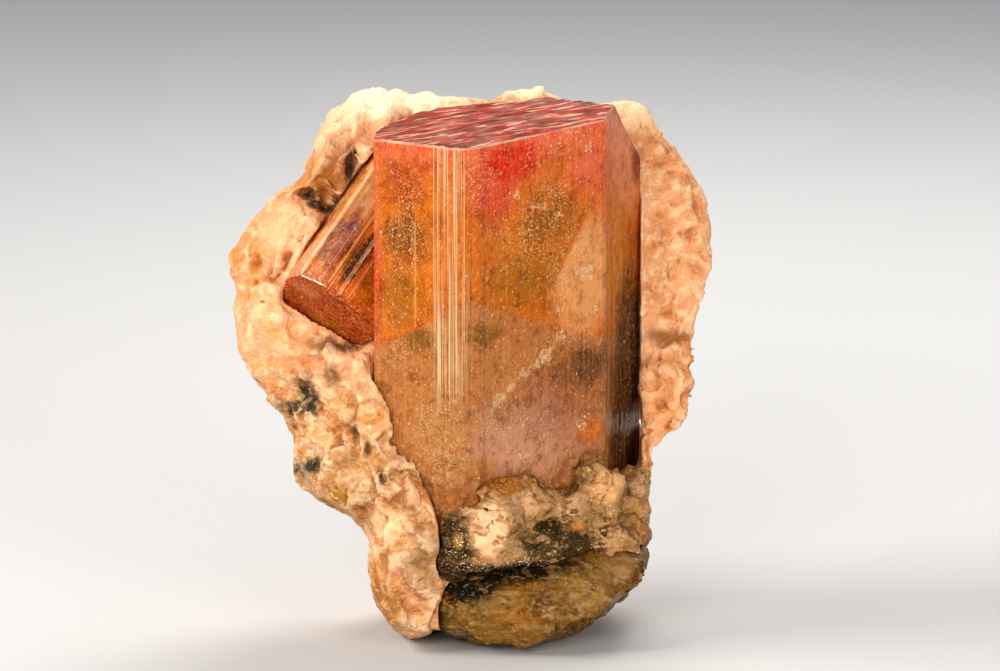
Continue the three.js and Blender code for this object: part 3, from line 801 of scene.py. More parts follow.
# Pits in the feldspar's front: middle across and up its leaning front, half width and height, depth.
PITS = [
    (-14.9, 59.2, 0.35, 1.6, 1.6), (-15.1, 56.6, 0.35, 1.5, 1.8), (-20.4, 54.2, 0.7, 0.45, 1.2),
    (-19.2, 53.1, 0.8, 0.45, 1.4), (-17.8, 52.3, 1.0, 0.4, 1.4), (-26.6, 45.4, 0.7, 3.4, 1.0),
    (-24.6, 41.0, 0.5, 2.2, 0.6), (-14.3, 24.9, 0.4, 1.2, 0.8), (-12.7, 22.6, 0.4, 0.9, 0.7),
    (-10.7, 19.1, 0.6, 0.6, 0.8), (-17.6, 33.4, 3.2, 0.9, 1.0), (25.0, 36.4, 4.6, 0.7, 1.1),
]
FRONT_LEAN = math.radians(12)  # the feldspar's front colour spots and pits run back and up by this much
CLEAVAGE = np.array((0.64, 0.0, -0.77))  # the way that the long broken blocks at the lower left run


def pitted(points):
    ragged = points + 0.5 * np.stack([layered(points, 1.2, 2, 115 + a) for a in range(3)], axis=1)
    x, y, z = ragged.T
    up = z * math.cos(FRONT_LEAN) + y * math.sin(FRONT_LEAN)
    return sum(deep * np.exp(-(((x - u) / w) ** 2) - ((up - v) / h) ** 2) for u, v, w, h, deep in PITS)


def feldspar_rock():
    piece = remeshed("feldspar_rock", "feldspar_matrix", 0.4, 2)
    points, normals = vertex_points(piece), vertex_normals(piece)
    x, y, z = points.T
    room = smoothstep(
        0.25, 1.6, clearance(points, "main_crystal", "side_crystal", "quartz_foot", "pale_crust")
    )
    room *= (0.45 + 0.55 * towards_view(normals)) * smoothstep(0, 0.8, z)
    warped = points + 1.4 * shifts(points, 4, 121)
    cleaved = smoothstep(
        36, 31, z + 2 * noise(points, 5, 119)
    ) * smoothstep(-1, -5, x) * smoothstep(4, -2, y)
    behind = smoothstep(0.2, 0.7, normals[:, 1])
    drawn_out = points - 0.5 * (points @ CLEAVAGE)[:, None] * CLEAVAGE
    drawn_out = drawn_out + 0.5 * shifts(points, 3, 124)
    near, second, _, home = cells(drawn_out, 3.6, 125)
    small_home = cells(warped, 5.2, 128)[3]
    steps, _ = broken_faces(points, 2.6, 137)
    knobs = 2.8 * soft_lumps(warped, 7.0, 131) + 2.2 * soft_lumps(warped, 3.2, 134) + 0.8 * steps
    relief = (1 - cleaved) * (1 - 0.6 * behind) * knobs + 0.25 * cleaved * steps
    relief += 0.22 * layered(points, 1.9, 3, 127) + 0.08 * noise(points, 0.8, 130)
    relief -= pitted(points) * smoothstep(0.1, -0.3, normals[:, 1])
    lowest = np.where(x > 19, -0.6, -2.2)
    blocky = flattened(points, normals, home, 0.95 * cleaved, 126, 0.45) * cleaved[:, None]
    inner = smoothstep(0.15, 0.65, towards_view(normals))
    slabs = flattened(
        points, normals, small_home, (0.3 + 0.6 * behind) * inner, 129, 0.2
    ) * (1 - cleaved)[:, None]
    points = points + (blocky + slabs + normals * np.clip(relief, lowest, 1.2)[:, None]) * room[:, None]
    move_vertices(piece, points)
    normals = vertex_normals(piece)
    set_mask(piece, "hollow", hollows(piece, points, normals, 14, 1.1))
    set_mask(piece, "crease", smoothstep(0.12, 0.02, second - near) * cleaved)
    set_mask(piece, "cleaved", cleaved)
    set_mask(piece, "block_tone", 0.5 + 0.5 * lattice(home, 160))
    set_mask(piece, "chip_tone", 0.5 + 0.5 * lattice(cells(drawn_out, 1.7, 128)[3], 161))
    return piece


def pale_crust():
    piece = remeshed("pale_crust_pieces", "pale_crust", 0.24, 6)
    points, normals = vertex_points(piece), vertex_normals(piece)
    room = smoothstep(0.05, 0.7, clearance(points, "main_crystal", "quartz_foot"))
    warped = points * (0.75, 1.0, 1.25) + 0.5 * shifts(points, 2.5, 144)
    near, second, _, home = cells(warped, 2.6, 141)
    fine_home = cells(warped, 1.1, 142)[3]
    moved = flattened(points, normals, home, 0.95, 146, 0.5, 1.0)
    moved += flattened(points + moved, normals, fine_home, 0.5, 147, 0.4, 0.3)
    points = points + (moved + 0.06 * normals * layered(points, 0.8, 2, 143)[:, None]) * room[:, None]
    move_vertices(piece, points)
    set_mask(piece, "hollow", hollows(piece, points, vertex_normals(piece), 12, 0.7))
    set_mask(piece, "crease", smoothstep(0.14, 0.02, second - near))
    return piece


def quartz_foot():
    piece = remeshed("quartz_foot_mass", "quartz_foot", 0.3, 6)
    points, normals = vertex_points(piece), vertex_normals(piece)
    room = smoothstep(0.1, 0.9, clearance(points, "main_crystal", "feldspar_matrix", "pale_crust"))
    room *= smoothstep(0, 0.8, points[:, 2])
    warped = points * (0.7, 1.0, 1.2) + 0.8 * shifts(points, 4, 154)
    home, fine_home = cells(warped, 4.2, 151)[3], cells(warped, 1.6, 153)[3]
    moved = flattened(points, normals, home, 0.95, 157, 0.45, 1.3)
    moved += flattened(points + moved, normals, fine_home, 0.5, 158, 0.4, 0.4)
    points = points + (moved + 0.1 * normals * layered(points, 1.4, 3, 152)[:, None]) * room[:, None]
    move_vertices(piece, points)
    set_mask(piece, "hollow", hollows(piece, points, vertex_normals(piece), 12, 0.8))
    return piece


# Inclusions in the main prism
def in_main(points):
    """Points of the main prism's own frame, in the row frame."""
    placement = main_placement()
    return np.asarray(points) @ np.array(placement.to_3x3()).T + np.array(placement.translation)


# Clusters of bright flakes behind the front faces: middle and spread across and along the main prism,
# the depth that they reach, their number and their size.
FLAKE_CLUSTERS = [
    ((8.6, 42.5), (3.6, 4.0), 2.5, 420, 0.26), ((7.0, 44.0), (1.6, 1.6), 1.2, 120, 0.34),
    ((-8.2, 42), (2.0, 8), 2.0, 260, 0.20), ((13.6, 37), (2.0, 6), 1.5, 200, 0.24),
    ((14.6, 15.5), (1.4, 2.0), 0.8, 60, 0.30), ((6, 24.6), (3.0, 2.8), 1.0, 120, 0.24),
    ((3, 46), (12, 9), 3.0, 420, 0.17), ((5, 22), (12, 8), 2.5, 420, 0.16),
    ((-3.8, 16), (3.4, 5), 0.5, 260, 0.16), ((10, 51.5), (6, 2.0), 1.5, 160, 0.20),
]
FLAKE_SEED = 5


def flakes():
    rng = np.random.default_rng(FLAKE_SEED)
    section = np.array(MAIN_SECTION)
    front = section[:16]
    points, faces = [], []
    for (x, z), (spread_x, spread_z), reach, count, size in FLAKE_CLUSTERS:
        across = x + spread_x * rng.normal(size=count)
        along = z + spread_z * rng.normal(size=count)
        back = np.interp(across, front[:, 0], front[:, 1]) + 0.35 + reach * rng.exponential(
            0.4, size=count
        )
        spots = np.column_stack([across, back, along])
        good = inside(section, spots[:, :2], 0.3) & (along > 11) & (along < 54)
        for spot in spots[good]:
            turn = Matrix.Rotation(rng.uniform(0, 6.3), 3, Vector(rng.normal(size=3)).normalized())
            wide, thick = min(size * rng.lognormal(0, 0.45), 0.6), 0.02
            ring = [
                (
                    wide * rng.uniform(0.5, 1) * math.cos(a),
                    wide * rng.uniform(0.15, 0.6) * math.sin(a), 0
                )
                for a in np.linspace(0, 2 * math.pi, 6, endpoint=False)
            ]
            start = len(points)
            shape = [*ring, (0, 0, thick), (0, 0, -thick)]
            points += [np.array(turn @ Vector(p)) + spot for p in shape]
            for n in range(6):
                m = (n + 1) % 6
                faces += [[start + n, start + m, start + 6], [start + m, start + n, start + 7]]
    piece = new_piece("bright_flakes", in_main(points), faces)
    piece.data.polygons.foreach_set("use_smooth", [False] * len(piece.data.polygons))
    return piece


# Healed fractures: corner, two sides and bulge in the main prism's frame, and which of them is which.
VEILS = {
    "glinting_fracture": ((1.5, 7.0, 10.0), (11.5, 7.6, 15.5), (2.6, 7.0, -3.0), 0.8),
    "upper_veil": ((14.5, 14.6, 49.0), (-5.5, -2.0, -25.0), (-1.2, 4.0, 1.0), 0.9),
}


def veil(name, corner, side, rise, bulge, seed):
    """A thin wavy sheet with its own thickness, so that it is closed."""
    across, up = 70, 40
    u, v = (a.ravel() for a in np.meshgrid(np.linspace(0, 1, across), np.linspace(0, 1, up)))
    flat = np.array(corner) + u[:, None] * np.array(side) + v[:, None] * np.array(rise)
    normal = np.cross(side, rise) / np.linalg.norm(np.cross(side, rise))
    wave = bulge * np.sin(math.pi * u) * np.sin(math.pi * v) + 0.5 * layered(flat, 2.4, 3, seed)
    edge = smoothstep(0, 0.12, u) * smoothstep(1, 0.88, u) * smoothstep(0, 0.12, v) * smoothstep(1, 0.88, v)
    middle = flat + normal * wave[:, None]
    half = normal * (0.015 + 0.03 * edge)[:, None]
    grid = [[r * across + c, r * across + c + 1, (r + 1) * across + c + 1, (r + 1) * across + c]
            for r in range(up - 1) for c in range(across - 1)]
    count = across * up
    faces = grid + [[i + count for i in face][::-1] for face in grid]
    rim = list(range(across)) + [r * across + across - 1 for r in range(1, up)]
    rim += [(up - 1) * across + c for c in range(across - 2, -1, -1)]
    rim += [r * across for r in range(up - 2, 0, -1)]
    faces += [[b, a, a + count, b + count] for a, b in zip(rim, rim[1:] + rim[:1])]
    return new_piece(name, in_main(np.concatenate([middle + half, middle - half])), faces)


# Materials
AMBER = (0.80, 0.22, 0.010)
GOLD = (0.50, 0.19, 0.004)
OLIVE_GOLD = (0.27, 0.10, 0.003)
PINK = (0.92, 0.17, 0.09)
PEACH_VEIL = (1.0, 0.50, 0.20)
MAUVE_BROWN = (0.64, 0.26, 0.08)
MAUVE = (0.84, 0.45, 0.30)
# colour of the painted glints on the big prism, and of the bright flakes inside it
SPARK = (1.0, 0.76, 0.44)
FAR = 500.0  # a size that takes no part, so that a spot goes right through

# Colour zones above the brown part, then below it: middle, size, colour, softness, waver, strength.
UPPER_SPOTS = [
    ((5, 0, 69), (40, FAR, 11), (0.96, 0.19, 0.12), 0.7, 0.7, 0.95),
    ((-8.3, 0, 59.5), (3.6, FAR, 4.5), (0.50, 0.07, 0.003), 0.8, 0.8, 0.95),
    ((-8.0, 0, 53.0), (4.6, FAR, 5.4), (0.28, 0.09, 0.002), 0.9, 1.2, 0.95),
    ((-8.3, 0, 45.6), (4.2, FAR, 5.0), (0.48, 0.17, 0.005), 0.8, 0.6, 0.95),
    ((3.0, 0, 58.6), (5.0, FAR, 6.5), (0.84, 0.10, 0.05), 0.8, 0.8, 0.95),
    ((5.4, 0, 62.6), (4.6, FAR, 3.6), (0.80, 0.020, 0.012), 0.7, 0.8, 0.97),
    ((9.4, 0, 53.8), (5.6, FAR, 5.6), OLIVE_GOLD, 0.9, 1.2, 0.9),
    ((6.5, 0, 47.0), (7.5, FAR, 6.0), GOLD, 0.9, 0.9, 0.9),
    ((14.6, 0, 60.5), (4.6, FAR, 6.5), (1.0, 0.20, 0.11), 0.8, 0.7, 0.9),
    ((16.6, 0, 48), (1.2, FAR, 14), PINK, 0.8, 0.4, 0.7),
    ((-12.0, 0, 50), (1.5, FAR, 22), PINK, 0.8, 0.3, 0.8),
    ((-11.8, 0, 48), (1.3, FAR, 8), (0.80, 0.085, 0.012), 0.8, 0.3, 0.8),
    ((-6.7, 0, 47), (0.16, FAR, 12), (1.0, 0.50, 0.12), 0.6, 0.2, 0.8),
]
LOWER_SPOTS = [
    ((-6.1, 0, 40.0), (3.2, FAR, 2.2), (0.26, 0.13, 0.012), 0.8, 0.9, 0.85),
    ((1.6, 0, 40.6), (3.6, FAR, 1.9), (0.30, 0.15, 0.015), 0.8, 0.9, 0.85),
    ((7, 0, 26), (11, FAR, 9), MAUVE, 0.8, 0.7, 0.9),
    ((14.2, 0, 34.6), (4.4, FAR, 3.6), (0.20, 0.072, 0.022), 0.7, 0.8, 0.9),
    ((4.5, 0, 34), (3.2, FAR, 4.0), (0.72, 0.33, 0.10), 0.9, 0.8, 0.7),
    ((4.0, 0, 30.0), (2.2, FAR, 2.4), (0.42, 0.20, 0.11), 0.8, 0.8, 0.7),
    ((14.8, 0, 26.0), (2.2, FAR, 2.2), (1.0, 0.26, 0.02), 0.8, 0.8, 0.95),
    ((-3.9, 0, 27.0), (4.2, FAR, 7.5), (0.70, 0.30, 0.085), 0.6, 0.6, 0.85),
    ((1.0, 0, 23.4), (3.0, FAR, 2.2), (0.60, 0.25, 0.04), 0.8, 0.7, 0.8),
    ((4, 0, 8), (40, FAR, 8), (0.04, 0.022, 0.01), 0.5, 0.5, 0.95),
]
RIGHT_SIDE_SPOTS = [
    ((19.8, 0, 60), (2.8, FAR, 10), (1.0, 0.36, 0.18), 0.5, 0.3, 0.95),
    ((18.2, 0, 47), (2.0, FAR, 8), (0.80, 0.28, 0.008), 0.6, 0.3, 0.9),
    ((20, 0, 22), (2.9, FAR, 27), (0.05, 0.017, 0.005), 0.35, 0.3, 0.95),
    ((21.1, 0, 58.0), (1.2, FAR, 4.5), (0.25, 0.012, 0.008), 0.6, 0.3, 0.9),
]
# Planes between the zones, each by a point and a normal into the lower zone, the clouded corner or
# the pale wedge.
ZONE_LEFT = ((-3.8, 0, 43.0), (0.49, 0, -0.87))
ZONE_RIGHT = ((7.1, 0, 41.9), (-0.42, 0, -0.91))
FRACTURE = ((0.5, 0, 29.1), (0.67, 0, -0.74))


def row_position(tree):
    return shader(tree, "TexCoord").outputs["Object"]


def prism_position(tree, placement):
    """Position in a prism's own frame."""
    undo = placement.inverted()
    turned = shader(
        tree, "Mapping",
        {"Vector": row_position(tree), "Location": undo.translation * MM, "Rotation": undo.to_euler()},
        vector_type="POINT",
    )
    return turned.outputs[0]


def zone_masks(tree, position, cloud, plane, softness, waver):
    point, normal = plane
    inputs = {
        "Position": position, "Cloud": cloud, "Point": [c * MM for c in point], "Normal": normal,
        "Softness": softness * MM, "Waver": waver * MM,
    }
    made = placed(tree, ZONE_EDGE, inputs)
    return made["Beyond"], made["Along"]


def spot_mask(tree, position, cloud, centre, size, softness=0.8, waver=0.8):
    inputs = {
        "Position": position, "Cloud": cloud, "Centre": [c * MM for c in centre],
        "Size": [s * MM for s in size], "Softness": softness, "Waver": waver,
    }
    return placed(tree, COLOUR_SPOT, inputs)["Mask"]


def fleck_mask(tree, position, size, turn, share):
    inputs = {
        "Position": position, "Size": [c * MM for c in size], "Turn": (turn * 0.7, turn, turn * 1.3),
        "Share": share,
    }
    return placed(tree, INCLUSION_FLECKS, inputs)["Mask"]


def stria(tree, own, size):
    made = placed(tree, LONG_GROOVES, {"Position": own, "Size": [c * MM for c in size]})
    return made["Lines"], made["Height"]


# Painted glints on flaws in the main prism: across, up, half width and half height.
GLINTS = [
    (9.2, 36.4, 1.2, 1.7), (11.2, 38.9, 0.8, 0.8), (3.3, 31.9, 0.8, 1.2), (6.8, 35.1, 0.9, 0.8),
    (5.0, 33.2, 0.6, 0.7), (15.6, 41.7, 0.7, 1.0), (13.9, 27.1, 0.8, 1.3), (9.2, 26.3, 0.6, 0.8),
    (6.5, 24.2, 1.2, 0.5), (11.2, 42.4, 1.0, 0.6), (5.8, 57.9, 0.8, 0.8), (8.5, 55.9, 1.6, 0.6),
    (14.6, 62.7, 0.8, 1.0), (12.6, 64.9, 1.2, 0.5), (10.9, 54.4, 0.9, 0.9), (14.2, 46.5, 1.3, 1.4),
]
WEDGE = ((14.6, 0, 53.6), (0.867, 0, -0.498))
END_START = (54.60 * MM, 54.68 * MM)  # heights in the big prism between which the look of its end sets in
GROOVED_FRONT = ((-4.6, -4.3), (1.0, -1.6))  # how the deep grooves fade in and out across the big prism
# Where the fine flecks of painted glints crowd together: across, up, half width and half height.
FLECKED = [
    (7.6, 54.0, 6.5, 7.5), (-8.0, 53.0, 3.6, 12.0), (13.4, 49.0, 3.4, 8.0), (11.0, 64.0, 7.0, 3.4),
    (0.5, 60.0, 3.0, 6.0), (-9.4, 37.0, 2.2, 3.4), (13.0, 38.6, 3.4, 1.6), (4.5, 29.0, 4.5, 3.0),
]


def places_mask(tree, position, cloud, places, softness, waver):
    """A mask of all these places, each with a ragged edge."""
    mask = 0.0
    for x, z, wide, tall in places:
        spot = spot_mask(tree, position, cloud, (x, 0, z), (wide, FAR, tall), softness, waver)
        mask = maths(tree, "MAXIMUM", mask, spot)
    return mask


def glint_mask(tree, position, cloud):
    mask = places_mask(tree, position, cloud, GLINTS, 0.8, 2.6)
    flecks = fleck_mask(tree, position, (0.16, 0.16, 0.5), 0.5, 0.66)
    return times(tree, stepped(tree, mask, 0.1, 0.5), flecks)


def grown_zones(tree, position, cloud):
    """The big prism's colour zones, and the line of the fracture that parts the clouded corner."""
    upper = spotted(tree, colour(*AMBER), position, cloud, UPPER_SPOTS)
    lower = spotted(tree, colour(*MAUVE_BROWN), position, cloud, LOWER_SPOTS)
    left, left_line = zone_masks(tree, position, cloud, ZONE_LEFT, 0.2, 1.2)
    right, _ = zone_masks(tree, position, cloud, ZONE_RIGHT, 0.6, 1.6)
    wedge, _ = zone_masks(tree, position, cloud, WEDGE, 0.35, 1.2)
    near_wedge = spot_mask(tree, position, cloud, (14.2, 0, 46.5), (5.4, FAR, 9.5), 0.5, 0.4)
    upper = tinted(tree, upper, PEACH_VEIL, times(tree, wedge, near_wedge), 0.92)
    tint = blended(tree, maths(tree, "MINIMUM", left, right), upper, lower)
    tint = tinted(tree, tint, (0.80, 0.09, 0.008), left_line, times(tree, right, 0.8))
    clouded, fracture_line = zone_masks(tree, position, cloud, FRACTURE, 0.7, 2.0)
    corner = spot_mask(tree, position, cloud, (11, 0, 31), (9, FAR, 9))
    cornered = times(tree, times(tree, clouded, corner), 0.75)
    tint = blended(tree, cornered, tint, colour(0.62, 0.50, 0.52), "MULTIPLY")
    return spotted(tree, tint, position, cloud, RIGHT_SIDE_SPOTS), fracture_line


def main_depth(tree, tint, position, cloud):
    """The tint with the clouds, the painted light and shade of splinters, and the gilt specks of the gem's
    inside.
    """
    layers = {
        "Colour": tint, "Deep Colour": colour(0.36, 0.24, 0.12),
        "Light Colour": colour(1.0, 0.56, 0.22), "Position": position, "Scale": 560.0,
        "Deepening": 0.55, "Lightening": 0.35,
    }
    tint = placed(tree, CLOUDY_DEPTH, layers)["Colour"]
    splinters = shards(tree, position, (0.55, 0.55, 0.9))
    tint = splintered(tree, tint, splinters, 0.35, 0.22, (0.55, 0.34, 0.16), (1.0, 0.52, 0.16))
    specks = fleck_mask(tree, position, (0.26, 0.26, 0.6), 1.7, 0.52)
    golden = spot_mask(tree, position, cloud, (8.8, 0, 53.0), (6.0, FAR, 7.5), 0.9, 1.6)
    return tinted(tree, tint, (0.95, 0.42, 0.05), times(tree, specks, golden), 0.85)


def main_shine(tree, position, cloud, fracture_line, pebbles, pebbled):
    """Where flaws in the big prism catch the light: the mask of its painted highlights."""
    sparse = fleck_mask(tree, position, (0.22, 0.22, 0.46), 0.5, 0.27)
    dense = maths(
        tree, "MAXIMUM", fleck_mask(tree, position, (0.22, 0.22, 0.55), 2.2, 0.37),
        fleck_mask(tree, position, (0.18, 0.18, 0.7), 0.9, 0.35),
    )
    crowd = places_mask(tree, position, cloud, FLECKED, 0.9, 2.4)
    near_seam = spot_mask(tree, position, cloud, (6.5, 0, 34.4), (8, FAR, 7))
    seam = times(tree, fracture_line, near_seam)
    crowd = maths(tree, "MAXIMUM", crowd, seam)
    shine = maths(tree, "MAXIMUM", sparse, times(tree, dense, crowd))
    broken_seam = times(tree, seam, stepped(tree, clouds(tree, position, 1300.0), 0.42, 0.62))
    shine = maths(tree, "MAXIMUM", shine, times(tree, broken_seam, 0.75))
    shine = maths(tree, "MAXIMUM", shine, times(tree, pebbles, times(tree, pebbled, 0.4)))
    return maths(tree, "MAXIMUM", shine, glint_mask(tree, position, clouds(tree, position, 1500.0)))


def main_end(tree, tint, own, along, cloud):
    """The tint with the end face's braided lines, painted highlights on their crests, painted shade in
    their grooves and a painted highlight along the rim, the end's mask and a height for bumps.
    """
    near_end = stepped(tree, along, *END_START)
    end = times(tree, stepped(tree, mesh_mask(tree, "end"), 0.35, 0.6), near_end)
    turned = shader(
        tree, "Mapping", {"Vector": own, "Rotation": (0, 0, END_RIDGE_TURN)}, vector_type="TEXTURE"
    ).outputs[0]
    _, height = stria(tree, turned, (5.0, 0.5, 4.0))
    _, fine_height = stria(tree, turned, (3.0, 0.26, 4.0))
    ground = tinted(
        tree, colour(0.22, 0.035, 0.012), (0.72, 0.035, 0.025), stepped(tree, fine_height, 0.44, 0.56)
    )
    # painted shade in the grooves between the ridges
    ground = tinted(tree, ground, (0.13, 0.030, 0.006), stepped(tree, height, 0.36, 0.47, 0.85, 0.0))
    # painted highlights on the ridge crests
    ground = tinted(tree, ground, (1.0, 0.60, 0.44), stepped(tree, height, 0.55, 0.62, 0.0, 0.95))
    # a painted highlight along the rim, just below the end face
    tint = tinted(tree, tint, (1.0, 0.70, 0.52), near_end, stepped(tree, cloud, 0.4, 0.6, 0.4, 0.9))
    return blended(tree, end, tint, ground), end, height


def main_elbaite():
    material, tree, principled = new_material(
        "zoned_elbaite", Transmission_Weight=0.45, IOR=1.63, Specular_IOR_Level=0.1,
        Specular_Tint=colour(0.35, 0.26, 0.2),
    )
    position, own = row_position(tree), prism_position(tree, main_placement())
    cloud = clouds(tree, position)
    across, _, along = shader(tree, "SeparateXYZ", {0: own}).outputs
    tint, fracture_line = grown_zones(tree, position, cloud)
    tint = main_depth(tree, tint, position, cloud)

    side_lines, side_height = stria(tree, own, (0.35, 0.35, 16))
    tint = tinted(tree, tint, (1.0, 0.50, 0.26), side_lines, 0.13)
    right_of, left_of = ((a * MM, b * MM) for a, b in GROOVED_FRONT)
    front = times(tree, stepped(tree, across, *right_of), stepped(tree, across, *left_of))
    _, front_height = stria(tree, own, (0.11, 0.5, 30))
    # painted highlights on the crests of the front's fine grooves
    stria_highlight = times(tree, stepped(tree, front_height, 0.50, 0.60), front)
    tint = tinted(tree, tint, (1.0, 0.80, 0.50), stria_highlight, stepped(tree, along, 19.0 * MM, 27.0 * MM))

    pebbles = fleck_mask(tree, position, (0.26, 0.26, 0.26), 1.1, 0.66)
    pebbled = spot_mask(tree, position, cloud, (-3.8, 0, 26.5), (4.6, FAR, 8), 0.4)
    # painted highlights where flaws catch the light
    tint = tinted(tree, tint, SPARK, main_shine(tree, position, cloud, fracture_line, pebbles, pebbled))
    tint, end, end_height = main_end(tree, tint, own, along, cloud)
    rough = maths(tree, "ADD", stepped(tree, cloud, 0.35, 0.7, 0.08, 0.30), times(tree, end, 0.4))
    finished(tree, principled, tint, rough)
    height = blended(tree, front, side_height, front_height)
    height = blended(tree, pebbled, height, pebbles)
    height = blended(tree, end, height, times(tree, end_height, 3.0))
    bumped(tree, principled, height, 0.6, 0.15)
    return material


# Colour zones of the small prism, in its own frame.
SIDE_SPOTS = [
    ((0, 0, 26), (20, 20, 3.6), (0.55, 0.08, 0.03), 0.5, 0.5, 0.95),
    ((1.5, -3.5, 26), (3.5, 2.6, 4), (0.72, 0.26, 0.02), 0.5, 0.6, 0.9),
    ((-3.5, 1.0, 26), (2.4, 2.0, 4), (0.85, 0.30, 0.20), 0.6, 0.6, 0.8),
    ((-3.7, 4, 18.0), (2.0, 4, 5.0), (0.28, 0.03, 0.001), 0.3, 0.2, 0.97),
    ((-0.6, 5, 18.5), (1.3, 2.5, 5.0), (0.030, 0.006, 0.002), 0.3, 0.2, 0.98),
    ((3.2, 5, 18), (2.8, 4, 5.6), (0.46, 0.17, 0.003), 0.4, 0.4, 0.92),
    ((5.4, 2, 21.5), (2.4, 4, 3.0), (0.16, 0.03, 0.006), 0.6, 0.5, 0.9),
    ((0, 0, 9.0), (20, 20, 6), (0.60, 0.26, 0.02), 0.6, 0.5, 0.85),
]
# painted highlights: thin bright lines at these edges
SIDE_EDGES = (-5.5, -2.2, 0.9, 5.8)  # places across the small prism where an edge catches the light


def side_elbaite():
    material, tree, principled = new_material(
        "orange_elbaite", Transmission_Weight=0.45, IOR=1.63, Specular_IOR_Level=0.03,
        Specular_Tint=colour(0.35, 0.2, 0.1),
    )
    own = prism_position(tree, side_placement())
    tint = spotted(tree, colour(0.70, 0.19, 0.008), own, clouds(tree, own), SIDE_SPOTS)
    layers = {
        "Colour": tint, "Deep Colour": colour(0.50, 0.34, 0.20),
        "Light Colour": colour(1.0, 0.36, 0.05), "Position": own, "Scale": 420.0, "Deepening": 0.6,
        "Lightening": 0.35,
    }
    tint = placed(tree, CLOUDY_DEPTH, layers)["Colour"]
    splinters = shards(tree, own, (0.9, 0.9, 1.6))
    tint = splintered(tree, tint, splinters, 0.6, 0.4, (0.40, 0.22, 0.12), (1.0, 0.32, 0.03))
    lines, height = stria(tree, own, (0.3, 0.6, 20))
    tint = tinted(tree, tint, (1.0, 0.42, 0.06), lines, 0.3)
    across, _, along = shader(tree, "SeparateXYZ", {0: own}).outputs
    # painted highlights along the small prism's edges, stopping short of its end
    before_end = stepped(tree, along, 24.0 * MM, 23.8 * MM)
    for place in SIDE_EDGES:
        gap = maths(tree, "ABSOLUTE", maths(tree, "SUBTRACT", across, place * MM))
        edge = stepped(tree, gap, 0.16 * MM, 0.08 * MM, 0.0, 0.8)
        tint = tinted(tree, tint, (1.0, 0.58, 0.26), edge, before_end)
    # painted glints on flecks, stronger towards the end
    near_end = stepped(tree, along, 20.0 * MM, 23.0 * MM)
    at_end = maths(tree, "ADD", 0.45, times(tree, near_end, 0.45))
    tint = tinted(
        tree, tint, (1.0, 0.56, 0.18), fleck_mask(tree, own, (0.24, 0.24, 0.4), 0.9, 0.46), at_end
    )
    finished(tree, principled, tint, stepped(tree, clouds(tree, own, 600.0), 0.35, 0.7, 0.25, 0.55))
    bumped(tree, principled, height, 0.5, 0.12)
    return material


CREAM = (0.78, 0.42, 0.225)
PEACH = (0.66, 0.29, 0.115)
RUST = (0.34, 0.12, 0.018)
# near black: for black streaks, and for painted shade in the pits
NEAR_BLACK = (0.022, 0.017, 0.006)
GREY_TAN = (0.42, 0.26, 0.135)
